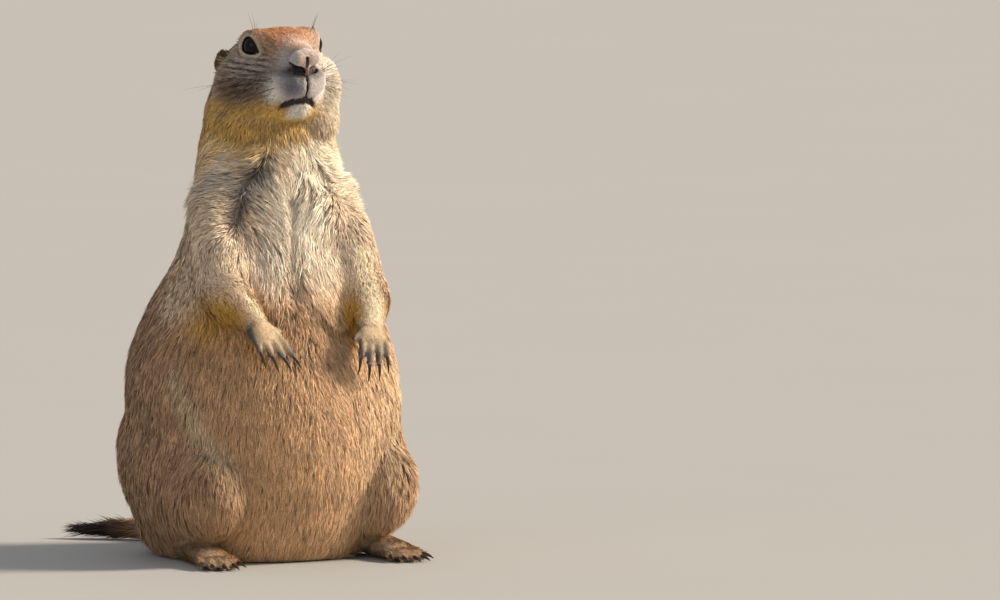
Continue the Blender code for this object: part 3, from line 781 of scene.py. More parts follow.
def cleft_share(head):
    """How much each place belongs to the slit between nose and mouth."""
    flat = np.column_stack([head[:, 0], head[:, 2], np.zeros(len(head))])
    return band(flat, [(x, z, 0) for x, z in PHILTRUM], 0.75) * step(-head[:, 1], 24, 30)


def fine_face(obj):
    """Splits the faces of the muzzle and the lips into smaller ones, and those of the lips again."""
    bm = bmesh.new()
    bm.from_mesh(obj.data)
    for level in range(2):
        head = head_mm(np.array([v.co for v in bm.verts]))
        x, y, z = head.T
        bm.verts.index_update()
        height, wide = below_mouth(head)
        near = (wide > 0) & (np.abs(height + 1.5) < 3.2)
        near |= (np.abs(x) < 1.5) & (y < -26) & (z < 1) & (z > -14)
        if level == 0:
            near |= (y < -24) & (np.abs(x) < 13) & (z > -20) & (z < 4)
        edges = [e for e in bm.edges if near[e.verts[0].index] and near[e.verts[1].index]]
        bmesh.ops.subdivide_edges(bm, edges=edges, cuts=1, use_grid_fill=True)
    bmesh.ops.triangulate(bm, faces=[f for f in bm.faces if len(f.verts) > 4])
    bm.to_mesh(obj.data)
    bm.free()


def join_lids(obj):
    bm = bmesh.new()
    bm.from_mesh(obj.data)
    old = set(bm.faces)
    add_lids(bm)
    bmesh.ops.recalc_face_normals(bm, faces=[f for f in bm.faces if f not in old])
    bm.to_mesh(obj.data)
    bm.free()


def build_skin():
    """The flesh fused, smoothed, sunk by the coat's depth and cut with the mouth, with the lids set in."""
    obj = remeshed(flesh(), SKIN_VOXEL)
    mesh = obj.data
    places, edges = places_of(mesh), edges_of(mesh)
    share, _ = shares_of(places, edges)
    places = relax(places, edges, 26, smooth_share(head_mm(places), share))
    set_places(mesh, places)
    normals = relax(normals_of(mesh), edges, 3, 0.5)
    body, head = body_mm(places), head_mm(places)
    depth = relax(coat_depth(body, head, share), edges, 10, 0.5)
    depth += chest_relief(body) * np.clip(share["torso"] + share["neck"], 0, 1)
    # The skin steps back behind the nose, which is a piece of its own
    depth += 2.6 * share["head"] * np.clip(1.5 * marked(head, "behind_nose"), 0, 1)
    set_places(mesh, places - unit(normals) * ((depth * (1 - share["tail"]) + SWELL) * MM)[:, None])
    fine_face(obj)
    places, edges = places_of(mesh), edges_of(mesh)
    head = head_mm(places)
    face = step(-head[:, 1], 16, 24) * (np.abs(head[:, 0]) < 20)
    places = relax(places, edges, 4, 0.5 * face)
    head = head_mm(places)
    sunk = np.maximum(2.0 * mouth_share(head), 1.3 * cleft_share(head))
    set_places(mesh, places + HEAD_AXES[1] * (sunk * MM)[:, None])
    thin_trunk(obj)
    join_lids(obj)
    return obj


def thin_trunk(obj):
    """Merges faces of the plain stretches of trunk and limbs, and leaves the face and hands as they are."""
    places = places_of(obj.data)
    head = head_mm(places)
    number = nearest_parts(places)
    fine = np.isin(number, [PARTS.index(part) for part in ("hand", "ear")]).astype(float)
    fine[number == PARTS.index("foot")] = 0.5
    on_head = number == PARTS.index("head")
    fine[on_head] = (0.4 + 0.6 * step(-head[:, 1], -4, 10))[on_head]
    plain = 1 - relax(fine, edges_of(obj.data), 4, 0.5)
    group = obj.vertex_groups.new(name="plain")
    for level in range(1, 9):
        members = np.flatnonzero(np.round(plain * 8) == level)
        group.add(members.tolist(), level / 8, "REPLACE")
    thin = obj.modifiers.new("Thin", "DECIMATE")
    thin.ratio = MOST_SKIN / (2 * len(obj.data.polygons))
    thin.vertex_group = "plain"
    thin.vertex_group_factor = 1.0
    applied(obj)
    obj.vertex_groups.clear()


# How the coat lies, how long it is, how it is marked, and the light and shade painted on it

def along_skin(way, normals):
    """The part of each way that runs along the skin."""
    return way - normals * (way * normals).sum(1, keepdims=True)


def trunk_lie(body, down):
    """The trunk's hair runs down, at the rump to the tail, and on the chest away from its partings."""
    way = down + np.outer(np.sign(body[:, 0]), (0.1, 0, 0))
    way += np.outer(step(body[:, 1], 20, 70) * (1 - step(body[:, 2], 20, 90)), (0, 0.5, 0))
    for line in PARTINGS:
        far, along, away = on_lines(body, line)
        pull = np.exp(-((far / 15) ** 2)) * 2.6 + np.exp(-((far / 30) ** 2)) * 0.7
        pull *= 0.35 + 0.65 * step(along, 0, 0.3)
        way += unit(away) * pull[:, None]
    way[:, 2] = np.where(way[:, 2] > 0, way[:, 2] * 0.7, way[:, 2])
    return way


def head_lie(head, down):
    """The head's hair runs back from nose and eyes, then down the nape and throat."""
    back_way = unit(head - np.array(NOSE_TIP)) + np.array((0, 0.1, 0))
    past, from_eye = past_lids(head)
    back_way = back_way + from_eye * (2.2 * np.exp(-((np.maximum(past, 0) / 4) ** 2)))[:, None]
    nape = step(head[:, 1], -6, 22) * (1 - 0.3 * step(head[:, 2], 0, 20))
    turn = np.clip(nape + step(-head[:, 2], 16, 34), 0, 1)[:, None]
    return (back_way * (1 - turn)) @ HEAD_AXES + turn * down


def limb_lie(way, body, normals, share):
    """The given way, turned to run along the arms, hands, feet and tail."""
    droop = np.outer(0.4 * step(-normals[:, 2], -0.2, 0.8), (0, 0, -1))
    upper = share["upper_arm"] * step(-body[:, 2], -184, -168)
    for name, sign in SIDES.items():
        mine = (np.sign(body[:, 0]) == sign)[:, None]
        arm = unit(np.array([ARM_WAY], float) * (sign, 1, 1))
        fore = unit(np.array([FOREARM_WAY[name]], float)) + droop
        hand = unit(np.array([HAND_WAY[name]], float))
        for along, much in ((arm, upper), (fore, share["forearm"]), (hand, share["hand"])):
            way = np.where(mine, blended(way, along, much), way)
    way = blended(way, np.array(FOOT_WAY), share["foot"])
    way = way + np.outer(share["thigh"], (0, -0.15, 0))
    line = places_in(TAIL_LINE)
    along = on_lines(body, line)[1]
    leg = np.clip((along * (len(line) - 1)).astype(int), 0, len(line) - 2)
    return blended(way, unit(line[leg + 1] - line[leg]), share["tail"])


def lie_of(places, normals, share):
    """The way that the hair points at each place, along the skin."""
    body, head = body_mm(places), head_mm(places)
    down = np.tile((0.0, 0.0, -1.0), (len(body), 1))
    on_head = among(share, "head", "ear")
    way = blended(trunk_lie(body, down), head_lie(head, down), on_head)
    way = blended(way, np.array(EAR_WAY), share["ear"])
    way = limb_lie(way, body, normals, share)
    # A slow drift, so that no stretch is combed dead straight
    across = unit(np.cross(normals, way))
    drift = 0.16 * waves(body, 34, 3) + 0.1 * waves(body, 13, 4)
    way = unit(way) + across * (drift * (1 - 0.6 * on_head))[:, None]
    return along_skin(way, normals)


def hair_sizes(body, head, share):
    """Length and width of the hair in millimetres at each place."""
    coat = settings("coat")
    size = SimpleNamespace(**{name: getattr(coat, name) / MM for name in names_in(coat)})
    turn = turn_of(body)
    trunk = size.belly + (size.back - size.belly) * step(turn, 0.7, 1.6)
    chest = step(body[:, 2], 130, 165) * (1 - step(turn, 1.2, 1.9))
    trunk = trunk + (size.chest - trunk) * chest
    for line in PARTINGS:
        trunk = trunk * (1 - 0.4 * band(body, line, 4))
    front = step(-head[:, 1], 16, 32)
    top = step(head[:, 2], 2, 16)
    low = step(-head[:, 2], 12, 30)
    on_head = size.cheek + (size.crown - size.cheek) * top + 3.0 * low * (1 - front)
    on_head = on_head + (size.muzzle - on_head) * front
    on_head = on_head + 2.5 * marked(folded(head), "ear_root")
    on_head = on_head * (0.25 + 0.75 * step(past_lids(head)[0], 0.5, 8))
    wrist = step(-body[:, 1], 46, 66)
    length = of_parts(
        share,
        head=on_head,
        neck=8.0,
        torso=trunk,
        thigh=size.back,
        upper_arm=size.limb + 1.5,
        forearm=size.limb + (size.paw + 0.8 - size.limb) * wrist,
        hand=size.paw,
        foot=size.paw + 0.6,
        ear=1.2,
        tail=size.tail,
    )
    wide = size.width * (1 - 0.2 * (1 - step(turn, 0.9, 1.6)) * (1 - step(body[:, 2], 120, 150)))
    fine = among(share, "head", "ear", "hand", "foot")
    return length, wide * (1 - fine) + fine * (0.2 + 0.028 * length)


def trunk_colour(body):
    """Tan belly, cream chest and brown back with a yellow throat, painted shade beside and under the chest,
    and painted light on the lap and the throat's left side.
    """
    shade = colours()
    turn, height = turn_of(body), body[:, 2]
    chest = step(height, 128, 172) * (1 - step(turn, 0.8, 1.5))
    sides = step(height, 140, 170) * step(turn, 0.8, 1.3) * (1 - step(turn, 1.5, 2.3))
    ragged = height + 7 * waves(body, 20, 11)
    throat = step(ragged, 205, 238) * (1 - step(turn, 1.5, 2.2))
    # A pale patch on the throat's lit left side: painted light
    lit_bib = np.clip(1.4 * marked(body, "lit_bib"), 0, 1)
    return laid(
        np.tile(shade.belly, (len(body), 1)),
        (shade.flank, step(turn, 0.5, 1.15)),
        (shade.back, step(turn, 1.15, 2.1) * 0.9),
        (shade.chest, chest),
        (shade.chest * 0.6 + shade.flank * 0.4, sides * 0.7),
        # Painted shade beside the chest on its right side
        (shade.muzzle * (0.34, 0.33, 0.32), marked(body, "shade_beside_chest") * 0.6),
        # Painted shade on the belly under the chest
        (shade.flank * (0.62, 0.56, 0.52), marked(body, "shade_under_chest") * 0.5),
        # Painted light on the lit left side of the lap
        (shade.chest * (0.95, 0.86, 0.74), marked(body, "lit_lap") * 0.4),
        # The yellow throat, fainter on the lit left side and under the pale patch: painted light
        (shade.buff, throat * (0.85 - 0.3 * step(body[:, 0], 0, 22)) * (1 - 0.9 * lit_bib)),
    )


def paw_colour(body, normals):
    """Grey buff, with painted shade between the fingers, and darker at their tips."""
    shade = colours()
    # Painted shade between the fingers, where the skin faces sideways
    sideways = np.abs(normals @ np.array((0.98, 0.11, 0.06)))
    return laid(
        np.tile(shade.paw, (len(body), 1)),
        (shade.muzzle * (0.1, 0.11, 0.14), step(sideways, 0.35, 0.75) * 0.9),
        (shade.muzzle * (0.34, 0.35, 0.4), step(-body[:, 2], -125, -112) * 0.6),
    )


def pad_lines(head):
    """Dark lines over the cheek, back from the whisker pads."""
    x, y, z = head.T
    rise = np.arctan2(z + 2, y + 46)
    streak = np.sin(rise * 62 + 1.6 * waves(head, 15, 8)) * step(y, -32, -24) * (1 - step(y, -6, 4))
    streak = np.clip(2 * streak - 0.4, 0, 1) * marked(folded(head), "cheek_streaks")
    return streak * (1 - 0.75 * step(x, -2, 10))


def face_colour(head):
    """Rust crown, yellow jaw, dark cheek patch and pale muzzle, with the lines of lids and mouth, painted
    light on the left cheek and jaw, and painted shade round nose, pads and mouth.
    """
    shade = colours()
    both = folded(head)
    x, y, z = head.T
    rust = marked(both, "crown") + 0.6 * marked(both, "brow")
    jaw = step(-z, 8.5, 20) * step(-y, -26, -2)
    jaw *= 0.8 + 0.13 * waves(head * (1, 1, 2.2), 16, 12)
    # The yellow jaw made paler on the lit left side: painted light
    jaw *= 1 - 0.75 * step(x, 4, 20)
    muzzle = step(-y, 28, 34) * (1 - step(z + 0.35 * both[:, 0], 0, 9))
    # The blue-grey whisker pads: partly their own darker colour, partly painted shade, made fainter on the
    # lit left side
    pad = marked(both, "whisker_pad") * (1 - 0.6 * step(x, -1, 2))
    face = laid(
        np.tile(shade.face, (len(head), 1)),
        (shade.crown, np.clip(rust * 1.15, 0, 1)),
        (shade.back * 0.9, step(y, -2, 20) * 0.6),
        (shade.buff, np.clip(jaw, 0, 0.92)),
        # A pale cheek on the lit left side: painted light
        (shade.chest, 0.85 * marked(head, "lit_cheek")),
        # The dark cheek patch, made fainter on the lit left side: painted light
        (shade.crown * 0.3 + shade.dark * 0.35, marked(both, "cheek_patch") * np.where(x < 0, 0.8, 0.35)),
        (shade.muzzle, marked(both, "under_eye") * 0.45),
        (shade.muzzle, muzzle * 0.9),
        (shade.muzzle * (0.17, 0.18, 0.25), np.clip(pad * 1.2, 0, 0.9)),
    )
    for first, last, count, _, _ in WHISKERS[:PAD_ROWS]:
        far, along, _ = on_lines(both, (first, last))
        dots = 0.5 + 0.5 * np.cos(along * (count - 1) * 2 * math.pi)
        face = mixed(face, shade.dark, np.exp(-((far / 0.6) ** 2)) * dots * 0.8)
    height, wide = below_mouth(head)
    chin = step(-height, 2.8, 4.2) * (1 - step(-height, 9, 13)) * step(-y, 22, 27)
    past, _ = past_lids(head)
    ring = step(past, 0.5, 0.9) * (1 - step(past, 1.6, 3.0))
    seam = wide * np.exp(-(((height + 0.5) / 0.8) ** 2)) + 1.6 * marked(head, "under_nose")
    return laid(
        face,
        (shade.nose, marked(both, "bridge") * 0.7),
        (shade.muzzle * (0.72, 0.76, 0.86), marked(both, "beside_nose") * 0.8),
        (shade.buff, chin * 0.6),
        (shade.chin, chin * (1 - step(both[:, 0], 3.5, 8)) * 0.9),
        (shade.chin, np.clip(marked(both, "lip") * 1.2, 0, 0.9) * step(height, -0.5, 0.5)),
        (shade.dark * 0.5, np.clip(1.2 * pad_lines(head), 0, 0.95)),
        (shade.chest * 0.75, ring * 0.45),
        (shade.nostril * 0.5, 1 - step(past, 0.5, 0.8)),
        # The dark band of the mouth: partly the lips' dark inside, partly painted shade under the upper lip
        (shade.lips * 0.45, np.clip(mouth_share(head) * 1.5, 0, 0.96)),
        # Dark under the nose and along the mouth's line: partly bare dark skin, partly painted shade under
        # the overhanging nose
        (shade.nostril, np.clip(seam, 0, 0.9)),
        (shade.nostril * 0.7, np.clip(cleft_share(head) * 2, 0, 0.97)),
    )


def coat_colour_and_light(places, normals, share):
    """The colour of the coat at each place, with painted light and shade in it."""
    shade = colours()
    body, head = body_mm(places), head_mm(places)
    both = folded(body)
    arm = among(share, "upper_arm", "forearm")
    elbow = marked(both, "elbow") * np.where(body[:, 0] < 0, 1, 0.45)
    elbow = np.clip(np.maximum(elbow, marked(both, "inner_arm")) * 1.5, 0, 0.95)
    on_ridge = np.clip(arm + 0.5 * share["hand"], 0, 1)
    far, along, _ = on_lines(both, THIGH_FOLD)
    fold = np.exp(-((far / (5 + 2.5 * along)) ** 2)) * (1 - 0.7 * step(along, 0.6, 0.95))
    along = on_lines(body, places_in(TAIL_LINE))[1]
    tail = mixed(np.tile(shade.tail, (len(body), 1)), shade.dark * 0.7, step(along, 0.4, 0.66))
    dark_ear = np.clip(1.3 * marked(folded(head), "dark_ear"), 0, 0.95)
    base = laid(
        trunk_colour(body),
        (shade.chest * 0.5 + shade.belly * 0.4, arm * 0.85),
        (shade.buff * (1, 0.9, 0.5), elbow),
        (paw_colour(body, normals), share["hand"]),
        # Pale ridges down the forearms: partly pale fur, partly painted light on their lit edges
        *(
            (shade.chest * (1.1, 1.06, 0.95), np.clip(1.5 * band(body, line, 7), 0, 1) * on_ridge)
            for line in ARM_RIDGES
        ),
        (shade.flank * 0.75 + shade.back * 0.25, share["thigh"] * 0.7),
        (shade.chest * 0.45 + shade.buff * 0.4, fold * 0.9),
        (shade.paw, share["foot"]),
        (face_colour(head), np.clip(share["head"], 0, 1)),
        (shade.face * 0.3 + shade.crown * 0.1, share["ear"] * 0.9),
        (shade.dark * 0.8, share["ear"] * dark_ear),
        (tail, share["tail"]),
        # Dark partings and chest furrow: partly darker fur and roots, partly painted shade in these creases
        *((shade.dark * 0.7, band(body, line, 1.9) * 0.95) for line in PARTINGS),
        (shade.flank * (0.62, 0.5, 0.42), band(body, FURROW, 4.5) * 0.75),
    )
    blotch = 1 + 0.07 * waves(body, 26, 6) + 0.05 * waves(body, 9, 7)
    return np.clip(base * blotch[:, None], 0.003, 1)


def grizzle_of(body, head, share):
    """How much single hairs differ from the coat's own colour."""
    back = 0.2 + 0.18 * step(turn_of(body), 0.6, 1.6)
    face = 0.3 - 0.2 * step(-head[:, 1], 26, 36) + 0.2 * marked(head, "grizzled_crown")
    limbs = np.clip(of_parts(share, hand=1, foot=1, forearm=0.8, upper_arm=0.4), 0, 1)
    return (back * (1 - share["head"]) + face * share["head"]) * (1 - 0.6 * limbs)


def root_shade(body, share):
    """How dark the hair is at its root, against its middle: partly the hair's own dark base, partly painted
    shade between the strands.
    """
    fine = among(share, "head", "hand", "foot", "forearm")
    # Lighter roots on the chest's middle and lit left side: painted light
    chest = step(body[:, 2], 140, 175) * step(-body[:, 1], 10, 30) * step(body[:, 0], -14, 8)
    deep = 0.56 + 0.26 * fine + 0.16 * chest * (1 - fine)
    # Darker roots along the partings: partly painted shade in them
    for line in PARTINGS:
        deep = deep * (1 - 0.85 * band(body, line, 9))
    return deep


def bare_of(head):
    """Where no hair grows: lid edges, lips and the cleft under the nose."""
    bare = np.maximum(mouth_share(head), step(cleft_share(head), 0.15, 0.45))
    bare = np.maximum(bare, step(marked(head, "bare_under_nose"), 0.45, 0.7))
    return np.clip(np.maximum(bare, 1 - step(past_lids(head)[0], 0.8, 1.3)), 0, 1)


def dress_skin(mesh):
    """Keeps on the skin how the coat grows there."""
    places, edges, normals = places_of(mesh), edges_of(mesh), normals_of(mesh)
    share, number = shares_of(places, edges)
    body, head = body_mm(places), head_mm(places)
    length, width = hair_sizes(body, head, share)
    kept = {
        "lie": relax(lie_of(places, normals, share), edges, 6, 0.5),
        "length": relax(length, edges, 4, 0.5),
        "width": relax(width, edges, 4, 0.5),
        "depth": coat_depth(body, head, share) * (1 - share["tail"]) + 2.5 * share["tail"],
        "grizzle": grizzle_of(body, head, share),
        "root": root_shade(body, share),
        "bare": bare_of(head),
        "part": number,
    }
    for name, values in kept.items():
        put(mesh, name, values)
    coat = coat_colour_and_light(places, normals, share)
    put_colour(mesh, "coat", coat)
    deep = 0.62 + 0.3 * among(share, "head", "hand", "foot", "ear")
    put_colour(mesh, "skin", coat * deep[:, None])


class PRAIRIE_OT_skin(bpy.types.Operator):
    """Make one skin over all the flesh, under the coat"""

    bl_idname = "prairie_dog.skin"
    bl_label = "Skin"

    def execute(self, context):
        obj = build_skin()
        dress_skin(obj.data)
        coloured(obj, skin_material())
        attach(obj, "root")
        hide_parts(*(node for nodes in PART_NODES.values() for node in nodes if node != "nose"))
        return {"FINISHED"}


# The coat

# Where the trunk's coat pieces meet, in the body's millimetres: the height of the chest's lower edge, and
# how far back the chest and the belly end
CHEST_LOW, CHEST_BACK, BELLY_BACK = 128, 4, -20
REGIONS = {
    "all": lambda x, y, z: np.isfinite(x),
    "right": lambda x, y, z: x < 0,
    "left": lambda x, y, z: x >= 0,
    "chest": lambda x, y, z: (z > CHEST_LOW) & (y < CHEST_BACK),
    "shoulders": lambda x, y, z: (z > CHEST_LOW) & (y >= CHEST_BACK),
    "belly": lambda x, y, z: (z <= CHEST_LOW) & (y < BELLY_BACK),
    "right flank": lambda x, y, z: (z <= CHEST_LOW) & (y >= BELLY_BACK) & (x < 0),
    "left flank": lambda x, y, z: (z <= CHEST_LOW) & (y >= BELLY_BACK) & (x >= 0),
}
# Each coat piece: its parts, the slot of its finish, and its region
PIECES = {
    "coat_head_right": (("head", "ear"), "head_coat", "right"),
    "coat_head_left": (("head", "ear"), "head_coat", "left"),
    "coat_nose": (("head",), "head_coat", "all"),
    "coat_neck": (("neck",), "neck_coat", "all"),
    "coat_chest": (("torso",), "body_coat", "chest"),
    "coat_shoulders": (("torso",), "body_coat", "shoulders"),
    "coat_belly": (("torso",), "body_coat", "belly"),
    "coat_flank_right": (("torso",), "body_coat", "right flank"),
    "coat_flank_left": (("torso",), "body_coat", "left flank"),
    "coat_thigh_right": (("thigh",), "body_coat", "right"),
    "coat_thigh_left": (("thigh",), "body_coat", "left"),
    "coat_arm_right": (("upper_arm", "forearm"), "body_coat", "right"),
    "coat_arm_left": (("upper_arm", "forearm"), "body_coat", "left"),
    "coat_hands": (("hand",), "paw_coat", "all"),
    "coat_feet": (("foot",), "paw_coat", "all"),
    "coat_tail": (("tail",), "tail_coat", "all"),
}
# Most tufts of a piece, and tufts in a clump
MOST_TUFTS = 66000
IN_CLUMP = 5
# Places across a tuft's blade: share of its length, of its width and of its rise
BLADE = ((0.0, 1.0, 0.0), (0.5, 0.8, 0.72), (1.0, 0.0, 1.0))
# Width of a tuft's patch, as a share of the bake's
PATCH = 0.003


class Surface:
    """The skin's triangles with what is kept on them, to draw roots from."""

    def __init__(self, mesh):
        mesh.calc_loop_triangles()
        self.corners = numbers_of(mesh.loop_triangles, "vertices", 3, np.int32)
        names = ("lie", "length", "width", "depth", "grizzle", "root", "coat")
        self.kept = {name: get(mesh, name) for name in names}
        self.kept.update(place=places_of(mesh), normal=normals_of(mesh))
        self.part = get(mesh, "part")[self.corners[:, 0]]
        self.grown = 1 - get(mesh, "bare")[self.corners].max(1)
        a, b, c = (self.kept["place"][self.corners[:, k]] for k in range(3))
        self.area = np.linalg.norm(np.cross(b - a, c - a), axis=1) / 2 / MM**2
        self.middle = (a + b + c) / 3

    def drawn(self, faces, weights):
        """What is kept at a random place of each face."""
        found = {}
        for name, values in self.kept.items():
            found[name] = sum(
                values[self.corners[faces, k]] * (weights[:, k, None] if values.ndim > 1 else weights[:, k])
                for k in range(3)
            )
        return found


def cover(surface):
    """Tufts wanted for each square millimetre of each triangle."""
    length, width = (surface.kept[name][surface.corners].mean(1) for name in ("length", "width"))
    brush = (surface.part == PARTS.index("tail")) * 2.5 + 1
    return brush * surface.grown / (length**0.72 * width)


def patch_at(places, normals):
    """A place on an unwrap of the skin for each root: the six sides of a piece laid next to each other."""
    low, high = places.min(0), places.max(0)
    share = (places - low) / (high - low)
    side = np.abs(normals).argmax(1)
    facing = (normals[np.arange(len(side)), side] > 0).astype(int)
    first = np.where(side == 0, share[:, 1], share[:, 0])
    second = np.where(side == 2, share[:, 1], share[:, 2])
    return np.column_stack([(side + first * 0.94 + 0.03) / 3, (facing + second * 0.94 + 0.03) / 2])


def root_ways(root):
    """Straight out, along the hair and across it at each root."""
    normal = unit(root["normal"])
    lie = unit(along_skin(root["lie"], normal))
    return normal, lie, np.cross(normal, lie)


def tuft_mesh(name, root, draw, clump):
    """Blades of hair as one mesh. root holds what is kept at each root, clump the index of its clump."""
    count = len(root["length"])
    clumps = clump.max() + 1
    normal, lie, across = root_ways(root)
    length = root["length"] * draw.uniform(0.72, 1.18, count) * draw.uniform(0.82, 1.16, clumps)[clump]
    width = root["width"] * draw.uniform(0.75, 1.25, count)
    rise = root["depth"] * draw.uniform(0.55, 1.05, count) + 0.12
    sway = draw.normal(0, 0.12, clumps)[clump] + draw.normal(0, 0.07, count)
    bend = draw.normal(0, 0.07, clumps)[clump]
    twist = draw.uniform(-0.75, 0.75, count) * np.clip(root["length"] / 6, 0.25, 1)
    flat = across * np.cos(twist)[:, None] + normal * np.sin(twist)[:, None]
    rows = []
    for along, wide, lift in BLADE:
        aside = length * (sway * along + bend * along * along) - root["offset"] * along * 0.62
        spine = (
            root["place"]
            + lie * (length * along * MM)[:, None]
            + across * (aside * MM)[:, None]
            + normal * ((rise * lift - 0.25 * (1 - along)) * MM)[:, None]
        )
        half = flat * (width * wide / 2 * MM)[:, None]
        rows += [spine - half, spine + half]
    # The two edges meet at the tip, so the blade has five points
    points = np.stack(rows[:5], 1).reshape(-1, 3)
    points[:, 2] = np.maximum(points[:, 2], CAD_BOX[0].z + 0.3 * MM)
    start = (np.arange(count) * 5)[:, None]
    faces = np.concatenate([start + (0, 1, 3), start + (0, 3, 2), start + (2, 3, 4)], 1).reshape(-1, 3)
    mesh = bpy.data.meshes.new(name)
    mesh.vertices.add(len(points))
    mesh.vertices.foreach_set("co", points.astype(np.float32).ravel())
    mesh.loops.add(faces.size)
    mesh.loops.foreach_set("vertex_index", faces.astype(np.int32).ravel())
    mesh.polygons.add(len(faces))
    mesh.polygons.foreach_set("loop_start", np.arange(0, faces.size, 3, dtype=np.int32))
    mesh.update(calc_edges=True)
    # Colour: darker and bluer at the root, partly the hair's own base and partly painted shade between the
    # strands, and each hair a little lighter or darker than its clump
    tone = 1 + root["grizzle"] * (draw.normal(0, 0.75, clumps)[clump] + draw.normal(0, 1.0, count))
    tone = np.clip(tone, 0.74 - 0.9 * (root["grizzle"] - 0.2), 1.6)[:, None]
    tip = np.where(draw.uniform(size=count) < 0.3, 0.82, 1.14)
    warm = 1 + draw.normal(0, 0.035, count)
    tint = np.column_stack([warm, np.ones(count), 2 - warm])
    own = root["coat"][:, :3] * tone
    deep = own * root["root"][:, None] * (0.94, 1.0, 1.12)
    shades = np.stack([deep, deep, own, own, own * tip[:, None]], 1) * tint[:, None]
    put_colour(mesh, "hair", np.clip(shades.reshape(-1, 3), 0.002, 1))
    # Each tuft is a small patch of the bake, at its root's own place
    corner = np.array([(0, 0), (1, 0), (0, 0.5), (1, 0.5), (0.5, 1)]) * PATCH
    spots = (patch_at(root["place"], normal)[:, None] + corner).reshape(-1, 2)
    layer = mesh.uv_layers.new(name="OFBake", do_init=False)
    layer.uv.foreach_set("vector", spots[faces.ravel()].astype(np.float32).ravel())
    return mesh


def grow_piece(surface, wanted, name, draw):
    """One piece of the coat, in clumps of tufts."""
    parts, slot, region = PIECES[name]
    mine = np.isin(surface.part, [PARTS.index(part) for part in parts])
    mine &= REGIONS[region](*body_mm(surface.middle).T)
    weight = surface.area * cover(surface) * mine
    count = min(int(weight.sum() * wanted), MOST_TUFTS)
    clumps = max(count // IN_CLUMP, 1)
    faces = draw.choice(len(weight), clumps, p=weight / weight.sum())
    seat = surface.drawn(faces, draw.dirichlet((1, 1, 1), clumps))
    clump = np.repeat(np.arange(clumps), IN_CLUMP)
    root = {key: values[clump] for key, values in seat.items()}
    _, lie, across = root_ways(root)
    reach = np.clip(root["width"] * 1.5, 0.2, 1.0)
    root["offset"] = draw.normal(0, 1, len(clump)) * reach
    ahead = draw.normal(0, 1.4, len(clump)) * reach
    root["place"] = root["place"] + (across * root["offset"][:, None] + lie * ahead[:, None]) * MM
    obj = coloured(new_object(name, tuft_mesh(name, root, draw, clump)), hair_material())
    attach(obj, "root")


def grow_coat(*names, on="skin"):
    """The named pieces of the coat, each with its share of all the tufts."""
    coat = settings("coat")
    skin = Surface(bpy.data.objects["skin"].data)
    total = (skin.area * cover(skin)).sum()
    tufts = coat.tufts / 1
    surface = skin if on == "skin" else Surface(bpy.data.objects[on].data)
    for name in names:
        draw = np.random.default_rng(coat.seed + list(PIECES).index(name))
        grow_piece(surface, tufts / total, name, draw)


class PRAIRIE_OT_head_coat(bpy.types.Operator):
    """Grow the very short hair of the head"""

    bl_idname = "prairie_dog.head_coat"
    bl_label = "Head coat"

    def execute(self, context):
        grow_coat("coat_head_right", "coat_head_left", "coat_neck")
        grow_coat("coat_nose", on="nose_pad")
        return {"FINISHED"}


class PRAIRIE_OT_trunk_coat(bpy.types.Operator):
    """Grow the hair of the chest, back, belly and flanks"""

    bl_idname = "prairie_dog.trunk_coat"
    bl_label = "Trunk coat"

    def execute(self, context):
        grow_coat("coat_chest", "coat_shoulders", "coat_belly", "coat_flank_right", "coat_flank_left")
        return {"FINISHED"}


class PRAIRIE_OT_limb_coat(bpy.types.Operator):
    """Grow the hair of arms, thighs, hands and feet"""

    bl_idname = "prairie_dog.limb_coat"
    bl_label = "Limb coat"

    def execute(self, context):
        grow_coat("coat_thigh_right", "coat_thigh_left", "coat_arm_right", "coat_arm_left")
        grow_coat("coat_hands", "coat_feet")
        return {"FINISHED"}


class PRAIRIE_OT_tail_coat(bpy.types.Operator):
    """Grow the brush of the tail"""

    bl_idname = "prairie_dog.tail_coat"
    bl_label = "Tail coat"

    def execute(self, context):
        grow_coat("coat_tail")
        return {"FINISHED"}


# Nose

# Rounded forms that make up the nose, left side and middle, in the head's millimetres: centre and radii
NOSE_FORMS = (
    ((0, -36.4, 6.0), (7.6, 6.4, 7.3)),
    ((3.4, -39.9, 7.6), (4.2, 3.5, 4.5)),
    ((0, -39.8, 9.3), (4.6, 3.0, 3.7)),
    ((6.6, -38, 1.6), (2.0, 3.0, 2.2)),
    ((0, -41.6, 1.8), (1.4, 2.1, 3.4)),
)
# The hollow of the left nostril: place and radius, from the septum outward and up
NOSTRIL = (
    ((2.3, -41.6, 1.4), 1.4),
    ((4.5, -40.4, 2.0), 2.1),
    ((6.9, -38.2, 3.0), 2.0),
    ((8.4, -35.8, 4.8), 1.2),
)
NOSTRILS = (NOSTRIL, tuple(((-x, y, z), radius) for (x, y, z), radius in NOSTRIL))
# The groove down the nose's middle
NOSE_CLEFT = (((0, -42.7, 8.0), 0.5), ((0, -42.9, 6.4), 1.1), ((0, -43.2, 4.2), 0.9))
NOSE_VOXEL = 0.28
# What the hair of the nose is like all over
NOSE_HAIR = {"length": 1.1, "width": 0.17, "depth": 0.12, "grizzle": 0.12, "root": 0.8}


def nose_material():
    material, tree, shader = shader_of("nose", 0.55, 0.35)
    fine = noise(tree, 2600, 3)
    tree.links.new(varied(tree, attribute(tree, "skin"), fine, 0.8, 1.12), shader.inputs["Base Color"])
    bumped(tree, shader, fine, 0.55, 0.0003)
    return material


